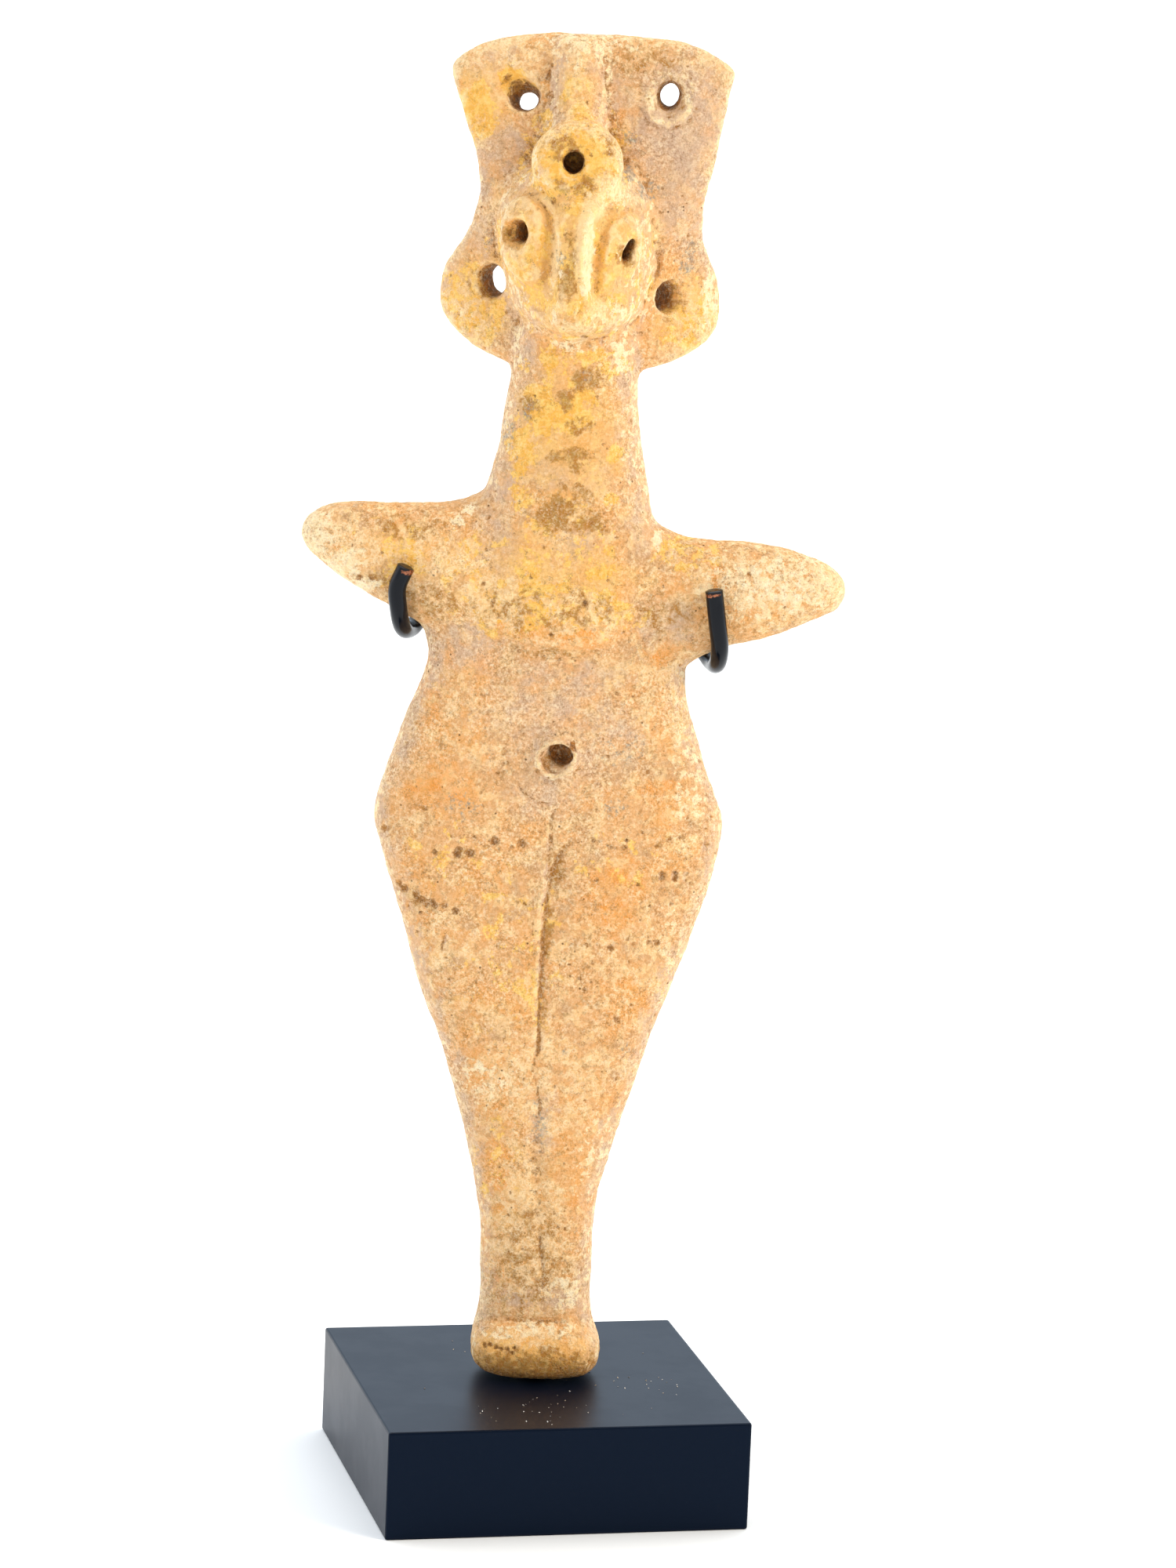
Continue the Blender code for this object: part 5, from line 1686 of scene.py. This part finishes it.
    def remeshed(self, source: bpy.types.Object, voxel: float, smoothing: int) -> bpy.types.Object:
        """One smoothed skin round everything in the object.

        Args:
            source: the object, which is removed.
            voxel: how fine the skin is.
            smoothing: how often it is thumbed smooth.

        Returns:
            The new object.
        """
        fuse = source.modifiers.new("one skin", "REMESH")
        fuse.mode = "VOXEL"
        fuse.voxel_size = voxel
        soften = source.modifiers.new("thumbed smooth", "SMOOTH")
        soften.factor = self.smoothing_factor
        soften.iterations = smoothing
        return made_plain(source, "clay")

    def modelled(self) -> bpy.types.Object:
        """The clay with its forms pressed together and its pellets pressed on.

        Returns:
            The clay's object.
        """
        forms = ClayForms()
        bm = bmesh.new()
        skin(bm, forms.level_rings(forms.TRUNK))
        skin(bm, forms.level_rings(forms.HEAD_PLATE, on_plate=True))
        for rows in (forms.FACE, forms.BEAK, forms.CREST, forms.COLLAR):
            skin(bm, forms.level_rings(rows))
        skin(bm, forms.DISC.rings())
        skin(bm, forms.arm_rings(forms.LEFT_ARM, -1))
        skin(bm, forms.arm_rings(forms.RIGHT_ARM, 1))
        body = self.remeshed(object_from(bm, "forms"), self.form_voxel, self.form_smoothing)
        bm = bmesh.new()
        bm.from_mesh(body.data)
        bpy.data.objects.remove(body)
        for pellet in (forms.LEFT_EYE, forms.RIGHT_EYE, forms.NAVEL_RIM):
            skin(bm, pellet.rings())
        return self.remeshed(object_from(bm, "clay"), self.joined_voxel, self.joined_smoothing)

    def pierced(self, body: bpy.types.Object) -> bpy.types.Object:
        """The clay with its holes cut, under a finer skin that softens their rims.

        Args:
            body: the clay's object, which is removed.

        Returns:
            The new object.
        """
        bm = bmesh.new()
        for hole in self.HOLES:
            skin(bm, hole.rings())
        sticks = object_from(bm, "sticks")
        join(body, sticks, Joining.CUT)
        fine = self.remeshed(body, self.fine_voxel, self.fine_smoothing)
        bpy.data.objects.remove(sticks)
        return fine

    def carved(self, body: bpy.types.Object) -> None:
        """Press every line and dab into the clay's front, then leave it uneven all over.

        Args:
            body: the clay's object.
        """
        surface = ClaySkin(body.data)
        for mark in (*self.HEAD_MARKS, *self.BODY_MARKS):
            surface.press(mark)
        uneven = sum(depth * unevenness(surface.points, size, shift) for depth, size, shift in self.THUMBED)
        surface.points = surface.points + uneven[:, None] * surface.normals
        surface.refresh()

    def prick_points(self, body: bpy.types.Object) -> bpy.types.Object:
        """The pricked marks as points on the clay's front, each with its reach and depth.

        Args:
            body: the clay's object.

        Returns:
            The object that holds the points.
        """
        front = BVHTree.FromObject(body, bpy.context.evaluated_depsgraph_get())
        spots = []
        for x, height, _, _ in self.PRICKED:
            spots.append(front.ray_cast(Vector((x, self.IN_FRONT, height)), Vector((0.0, 1.0, 0.0)))[0])
        points = bare_points("pricks", spots)
        for name, column in (("reach", 2), ("depth", 3)):
            store(points.data, name, [row[column] for row in self.PRICKED])
        return points

    def stained(self, body: bpy.types.Object) -> None:
        """Store where deposits, dirt and wear lie, and where shade and highlights are painted.

        Args:
            body: the clay's object.
        """
        surface = ClaySkin(body.data, self.STAINED_FRONT)
        amounts = {stain: np.zeros(len(surface.points)) for stain in Stain}
        for stain, places in self.STAINS.items():
            for x, height, half_width, half_height, strength, *tilt in places:
                placed = strength * surface.patch(x, height, half_width, half_height, *tilt)
                amounts[stain] = np.maximum(amounts[stain], placed)
        sideways, heights = np.abs(surface.normals[:, 0]), surface.points[:, 2]
        fine, broad = surface.hollowness(self.FINE_RELAXING), surface.hollowness(self.BROAD_RELAXING)
        # Painted highlight and wear on edges and ridges; painted shade and dirt in creases and hollows
        wear_and_highlight = self.EDGE_WEAR_AND_HIGHLIGHT.amount(-fine) + self.RIDGE_WEAR_AND_HIGHLIGHT.amount(-broad)
        shade_and_dirt = self.CREASE_SHADE_AND_DIRT.amount(fine) + self.HOLLOW_SHADE_AND_DIRT.amount(broad)
        shade_and_dirt = shade_and_dirt * (1 - self.FACE_HOLLOWS_LIGHTENED * surface.patch(*self.FACE_WITH_LIGHTER_HOLLOWS))
        # Each prick gets painted shade with its dirt, darker the deeper it goes
        for x, height, reach, depth in self.PRICKED:
            pricked = min(1.0, self.PRICK_SHADE_AND_DIRT * depth) * surface.patch(x, height, reach, reach)
            shade_and_dirt = np.maximum(shade_and_dirt, pricked)
        # Painted side light on the sides, painted highlight and wear above the foot, painted shade and dirt
        # at the sole
        gathered = {
            Stain.CRUST_AND_SIDE_LIGHT: self.SIDE_LIGHT_PALE.amount(sideways),
            Stain.PINK_AND_SIDE_LIGHT: self.SIDE_LIGHT_PINK.amount(sideways),
            Stain.WEAR_AND_HIGHLIGHT: wear_and_highlight * self.ABOVE_FOOT.amount(heights),
            Stain.SHADE_AND_DIRT: np.maximum(shade_and_dirt, self.SOLE_SHADE_AND_DIRT * (1 - self.ABOVE_SOLE.amount(heights))),
        }
        for stain, amount in gathered.items():
            amounts[stain] = np.maximum(amounts[stain], amount)
        # Painted shade inside each hole, darkest where no light gets in
        for hole in self.HOLES:
            amounts[Stain.SHADE_IN_HOLES] = np.maximum(amounts[Stain.SHADE_IN_HOLES], hole.darkness(surface.points))
        for stain, amount in amounts.items():
            store(body.data, stain.value, np.clip(amount, 0, 1))

    def settled(self, body: bpy.types.Object) -> None:
        """Place the clay in the world, inside its solid's own box.

        Args:
            body: the clay's object.
        """
        body.data.transform(self.stand @ Matrix.Scale(self.part, 4))
        surface = ClaySkin(body.data)
        low, high = surface.points.min(axis=0), surface.points.max(axis=0)
        target_low, target_high = self.box[0] + self.box_margin, self.box[1] - self.box_margin
        scale = np.minimum((target_high - target_low) / (high - low), 1.0)
        half = (high - low) * scale / 2
        middle = np.clip((low + high) / 2, target_low + half, target_high - half)
        surface.points = (surface.points - (low + high) / 2) * scale + middle
        surface.refresh()

    def build(self) -> None:
        """Make the figurine and dress it."""
        body = self.pierced(self.modelled())
        LOG.info("clay modelled and pierced: %d faces", len(body.data.polygons))
        self.carved(body)
        pricks = self.prick_points(body)
        values = {**self.FINE_SKIN, "Marks": pricks, "Clay": Terracotta().material()}
        body = PrickedSkin().run(body, values, "clay")
        bpy.data.objects.remove(pricks)
        thin = body.modifiers.new("fewer faces", "DECIMATE")
        thin.ratio = self.triangles / sum(len(face.vertices) - 2 for face in body.data.polygons)
        body = made_plain(body, "clay_figurine")
        self.stained(body)
        self.settled(body)
        body.data.shade_smooth()
        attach(body, "root")
        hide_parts("figurine")
        LOG.info("clay_figurine: %d faces", len(body.data.polygons))


@dataclass
class RodCradle:
    """The cradle: an upright and a cross rod whose ends are bent into a hook under each arm."""

    figurine: ClayFigurine
    diameter: float = 0.0024
    clearance: float = 0.0005
    sides: int = 32
    step: float = 0.0004
    # Hooks: degrees down from the front, how far out the rod is at each of them, and the tips' heights
    hook_turns: Row = (0.0, 25.0, 50.0, 75.0, 100.0, 120.0)
    left_hook: Row = (21.4, 22.4, 22.2, 21.6, 20.6, 19.0)
    right_hook: Row = (20.0, 20.7, 21.1, 20.9, 20.2, 18.8)
    left_tip: float = 112.6
    right_tip: float = 111.1
    cross_height: float = 104.6
    cross_reach: float = 13.5
    end_rim: float = 0.00028
    sharp_degrees: float = 50.0

    # How often a point is moved to its right distance from the clay
    NEARINGS = 4
    # A depth well behind the clay, and how far apart the heights are where the back is felt, in parts
    BEHIND = 30.0
    BACK_STEP = 2.0
    # A cut end's face has more corners than any other
    LEAST_CORNERS = 9
    # Where bare metal begins inside a cut end and stops outside it, and how far below its top, in radii
    BARE_INSIDE = (0.5, 0.9)
    BARE_OUTSIDE = (1.0, 1.3)
    BARE_BELOW = 0.5

    def __post_init__(self) -> None:
        """Read the solid clay that the rod is bent round, in metres from the figure's stand point."""
        self.stand = self.figurine.stand
        self.part = self.figurine.part
        mesh = frame["nodes"]["figurine"].data
        home = self.stand.inverted()
        points = [home @ vertex.co for vertex in mesh.vertices]
        self.clay = BVHTree.FromPolygons(points, [tuple(face.vertices) for face in mesh.polygons])

    def stand_off(self, inside: Vector, direction: Vector) -> Vector:
        """Where the rod's middle passes the clay, out from a point inside it.

        Args:
            inside: the point inside the clay.
            direction: the way out, one metre long.

        Returns:
            The rod's middle, clear of the clay.
        """
        clear = self.diameter / 2 + self.clearance
        point = self.clay.ray_cast(inside, direction)[0] + direction * clear
        for _ in range(self.NEARINGS):
            nearest, _, _, gap = self.clay.find_nearest(point)
            point += (point - nearest).normalized() * (clear - gap)
        return point

    def hook(self, side: int, arm: Rows, reaches: Row, tip_height: float) -> list[Vector]:
        """Points down an arm's front, round under it and in behind the trunk.

        Args:
            side: -1 for the left and 1 for the right.
            arm: the arm's table.
            reaches: how far out the rod is at each of the hook's turns.
            tip_height: the height of the rod's cut end.

        Returns:
            The points, from the cut end inwards.
        """
        line = []
        outwards = [row[0] for row in arm]
        for angle, reach in zip(self.hook_turns, reaches):
            top, bottom = (float(np.interp(reach, outwards, [row[k] for row in arm])) for k in (1, 2))
            inside = Vector((side * reach, 0.0, (top + bottom) / 2)) * self.part
            turn = math.radians(angle)
            line.append(self.stand_off(inside, Vector((0.0, -math.cos(turn), -math.sin(turn)))))
        line[0].z = tip_height * self.part
        inside = Vector((side * self.cross_reach, 0.0, self.cross_height)) * self.part
        line.append(self.stand_off(inside, Vector((0.0, 1.0, 0.0))))
        return line

    def upright_depth(self) -> float:
        """How far behind the figure's middle the upright stands, to clear its back all the way up.

        Returns:
            The distance, in metres.
        """
        backs = []
        for height in np.arange(self.BACK_STEP, self.cross_height, self.BACK_STEP):
            start = Vector((0.0, self.BEHIND, height)) * self.part
            backs.append(self.clay.ray_cast(start, Vector((0.0, -1.0, 0.0)))[0].y)
        return max(backs) + self.diameter / 2 + self.clearance

    def swept(self, line: list[Vector], paint: bpy.types.Material) -> bpy.types.Object:
        """A round rod along a line of points.

        Args:
            line: the points, in metres from the figure's stand point.
            paint: the rod's finish.

        Returns:
            The rod's object, in the world.
        """
        points = [self.stand @ Vector(row) for row in rows_along(line, self.step, axes=3)]
        source = bare_points("rod line", points, [(i, i + 1) for i in range(len(points) - 1)])
        return SweptRod().run(source, {"Diameter": self.diameter, "Sides": self.sides, "Paint": paint}, "rod")

    def build(self) -> None:
        """Make the cradle and dress it."""
        left = self.hook(-1, ClayForms.LEFT_ARM, self.left_hook, self.left_tip)
        right = self.hook(1, ClayForms.RIGHT_ARM, self.right_hook, self.right_tip)
        depth = self.upright_depth()
        middle = Vector((0.0, depth, self.cross_height * self.part))
        foot = Vector((0.0, depth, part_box("cradle")[0].z - self.stand.translation.z))
        paint = BlackEnamel().material()
        cradle = self.swept(left + [middle] + right[::-1], paint)
        upright = self.swept([foot, middle], paint)
        join(cradle, upright, Joining.MERGE)
        cradle = made_plain(cradle, "rod_cradle")
        bpy.data.objects.remove(upright)
        self.bare_ends(cradle, (self.stand @ left[0], self.stand @ right[0]))
        cradle.data.shade_smooth()
        cradle.data.set_sharp_from_angle(angle=math.radians(self.sharp_degrees))
        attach(cradle, "root")
        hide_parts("cradle")
        LOG.info("rod_cradle: %d faces", len(cradle.data.polygons))

    def is_cut_end(self, face: bmesh.types.BMFace, tips: tuple[Vector, Vector]) -> bool:
        """Whether a face closes the rod at one of its tips."""
        near = any((face.calc_center_median() - tip).length < self.diameter / 4 for tip in tips)
        return near and len(face.verts) >= self.LEAST_CORNERS

    def bare_ends(self, cradle: bpy.types.Object, tips: tuple[Vector, Vector]) -> None:
        """Chamfer each cut end's rim and store how bare of paint each point is.

        Args:
            cradle: the cradle's object.
            tips: the middles of the two cut ends.
        """
        bm = bmesh.new()
        bm.from_mesh(cradle.data)
        ends = [face for face in bm.faces if self.is_cut_end(face, tips)]
        bmesh.ops.inset_region(bm, faces=ends, thickness=self.end_rim, depth=self.end_rim / 2)
        bmesh.ops.inset_region(bm, faces=ends, thickness=self.end_rim / 2)
        bm.to_mesh(cradle.data)
        bm.free()
        points = points_of(cradle.data)
        gaps = np.array([np.linalg.norm(points - np.array(tip), axis=1) for tip in tips])
        below = np.array([tip.z for tip in tips])[gaps.argmin(axis=0)] - points[:, 2]
        radius = self.diameter / 2
        gap, below = gaps.min(axis=0) / radius, below / radius
        bare = (1 - eased(gap, *self.BARE_OUTSIDE)) * eased(gap, *self.BARE_INSIDE)
        store(cradle.data, "bare metal", bare * eased(below, 0.0, self.BARE_BELOW))


@dataclass
class Plinth:
    """The acrylic block, which keeps its solid, and the dust on it."""

    dust_lift: float = 0.00003
    dust_inset: float = 0.0012
    dust_grid: int = 24
    dust_seed: int = 11
    flake: float = 0.00016
    flakes: float = 260_000.0
    # Dusty places: x and y as shares of the half width, radius as such a share, and amount
    dusty: Rows = (
        (-0.05, -0.72, 0.35, 1.0),
        (0.62, -0.2, 0.28, 0.7),
        (-0.45, -0.75, 0.2, 0.5),
        (0.2, 0.3, 1.2, 0.06),
    )

    def build(self) -> None:
        """Dress the block and scatter its dust."""
        block = frame["nodes"]["plinth"]
        block.data.materials.clear()
        block.data.materials.append(Acrylic().material())
        LOG.info("plinth: dressed")
        low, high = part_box("plinth")
        half = (high.x - low.x) / 2 - self.dust_inset
        bm = bmesh.new()
        bmesh.ops.create_grid(bm, x_segments=self.dust_grid, y_segments=self.dust_grid, size=half)
        bmesh.ops.translate(bm, vec=(0.0, 0.0, high.z + self.dust_lift), verts=bm.verts)
        sheet = object_from(bm, "dust sheet")
        points = points_of(sheet.data)
        amount = np.zeros(len(points))
        for x, y, radius, strength in self.dusty:
            gap = np.hypot(points[:, 0] / half - x, points[:, 1] / half - y) / radius
            amount += strength * np.clip(1 - gap**2, 0, 1)
        store(sheet.data, "amount", amount)
        values = {"Flakes Per Square Metre": self.flakes, "Flake Size": self.flake, "Seed": self.dust_seed}
        dust = ScatteredDust().run(sheet, {**values, "Dust": Dust().material()}, "plinth_dust")
        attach(dust, "root")
        LOG.info("plinth_dust: %d faces", len(dust.data.polygons))


@dataclass
class Studio:
    """Pale floor, soft light from both sides and above, and the camera."""

    camera_place: Row = (-0.1664, -0.7518, 0.2468)
    camera_right: Row = (0.9761, -0.2137, 0.0400)
    camera_up: Row = (0.0021, 0.1933, 0.9811)
    camera_forward: Row = (0.2174, 0.9576, -0.1892)
    lens: float = 132.64
    film: float = 36.0
    paper: str = "#FFFFFF"
    paper_roughness: float = 0.9
    paper_ior: float = 1.45
    floor_half: float = 14.0
    # The room's cool light: behind the object, beside and behind the camera, and where it changes
    room_light: str = "#DFEFFF"
    behind: float = 1.38
    beside_camera: float = 0.45
    room_range: Row = (-0.7, 0.4)
    # Soft lights from far away: name, direction that it comes from, angle across, power, colour
    lights: tuple[tuple[str, Row, float, float, str], ...] = (
        ("key from the upper right", (0.8, -0.6, 0.6), 30.0, 2.05, "#FFEFD6"),
        ("fill from the left", (-0.7, -0.8, 0.5), 60.0, 0.42, "#FFEFD6"),
        ("rim from the right", (0.95, 0.25, 0.3), 50.0, 0.5, "#FFF3E0"),
        ("rim from the left", (-0.95, 0.25, 0.2), 50.0, 0.7, "#FFF0EA"),
        ("light from above and behind", (-0.1, 0.4, 1.0), 60.0, 1.1, "#FFF6E8"),
    )

    def floor(self) -> None:
        """Lay a wide sheet of paper under the object."""
        bm = bmesh.new()
        bmesh.ops.create_grid(bm, x_segments=1, y_segments=1, size=self.floor_half)
        floor = object_from(bm, "floor")
        inputs = {"Roughness": self.paper_roughness, "IOR": self.paper_ior}
        floor.data.materials.append(Finish("white paper sweep", self.paper, inputs).done())

    def room(self) -> bpy.types.World:
        """A white room whose walls are bright behind the object and dim where the camera stands.

        Returns:
            The room's world.
        """
        world = bpy.data.worlds.new("soft white room")
        world.use_nodes = True
        graph = Graph(world.node_tree)
        direction = graph.add("ShaderNodeTexCoord").outputs["Generated"]
        depth = graph.add("ShaderNodeSeparateXYZ", {"Vector": direction}).outputs["Y"]
        low, high = self.room_range
        inputs = {"Value": depth, "From Min": low, "From Max": high, "To Min": self.beside_camera}
        strength = graph.add("ShaderNodeMapRange", {**inputs, "To Max": self.behind}).outputs["Result"]
        background = world.node_tree.nodes["Background"]
        graph.feed(background.inputs["Color"], linear(self.room_light))
        graph.feed(background.inputs["Strength"], strength)
        return world

    def lamps(self) -> None:
        """Hang the soft lights."""
        for name, source, angle, power, colour in self.lights:
            lamp = bpy.data.lights.new(name, "SUN")
            lamp.angle = math.radians(angle)
            lamp.energy = power
            lamp.color = linear(colour)[:3]
            add_object(name, lamp).rotation_euler = Vector(source).to_track_quat("Z", "Y").to_euler()

    def camera(self) -> None:
        """Stand the camera where the photograph's own camera stood."""
        backward = tuple(-v for v in self.camera_forward)
        columns = (self.camera_right, self.camera_up, backward, self.camera_place)
        camera = add_object("camera", bpy.data.cameras.new("camera"))
        camera.data.lens = self.lens
        camera.data.sensor_width = self.film
        camera.matrix_world = Matrix([(*row, float(i == 3)) for i, row in enumerate(columns)]).transposed()
        bpy.context.scene.camera = camera

    def build(self) -> None:
        """Set the floor, the world, the lights and the camera."""
        self.floor()
        bpy.context.scene.world = self.room()
        self.lamps()
        self.camera()
        bpy.context.scene.view_settings.view_transform = "Standard"
        LOG.info("studio: floor, %d lights and camera", len(self.lights))


def main() -> None:
    """Dress the figurine, its cradle and its plinth, and light them."""
    logging.basicConfig(level=logging.INFO, format="%(name)s: %(message)s")
    figurine = ClayFigurine()
    figurine.build()
    RodCradle(figurine).build()
    Plinth().build()
    Studio().build()


if __name__ == "__main__":
    main()
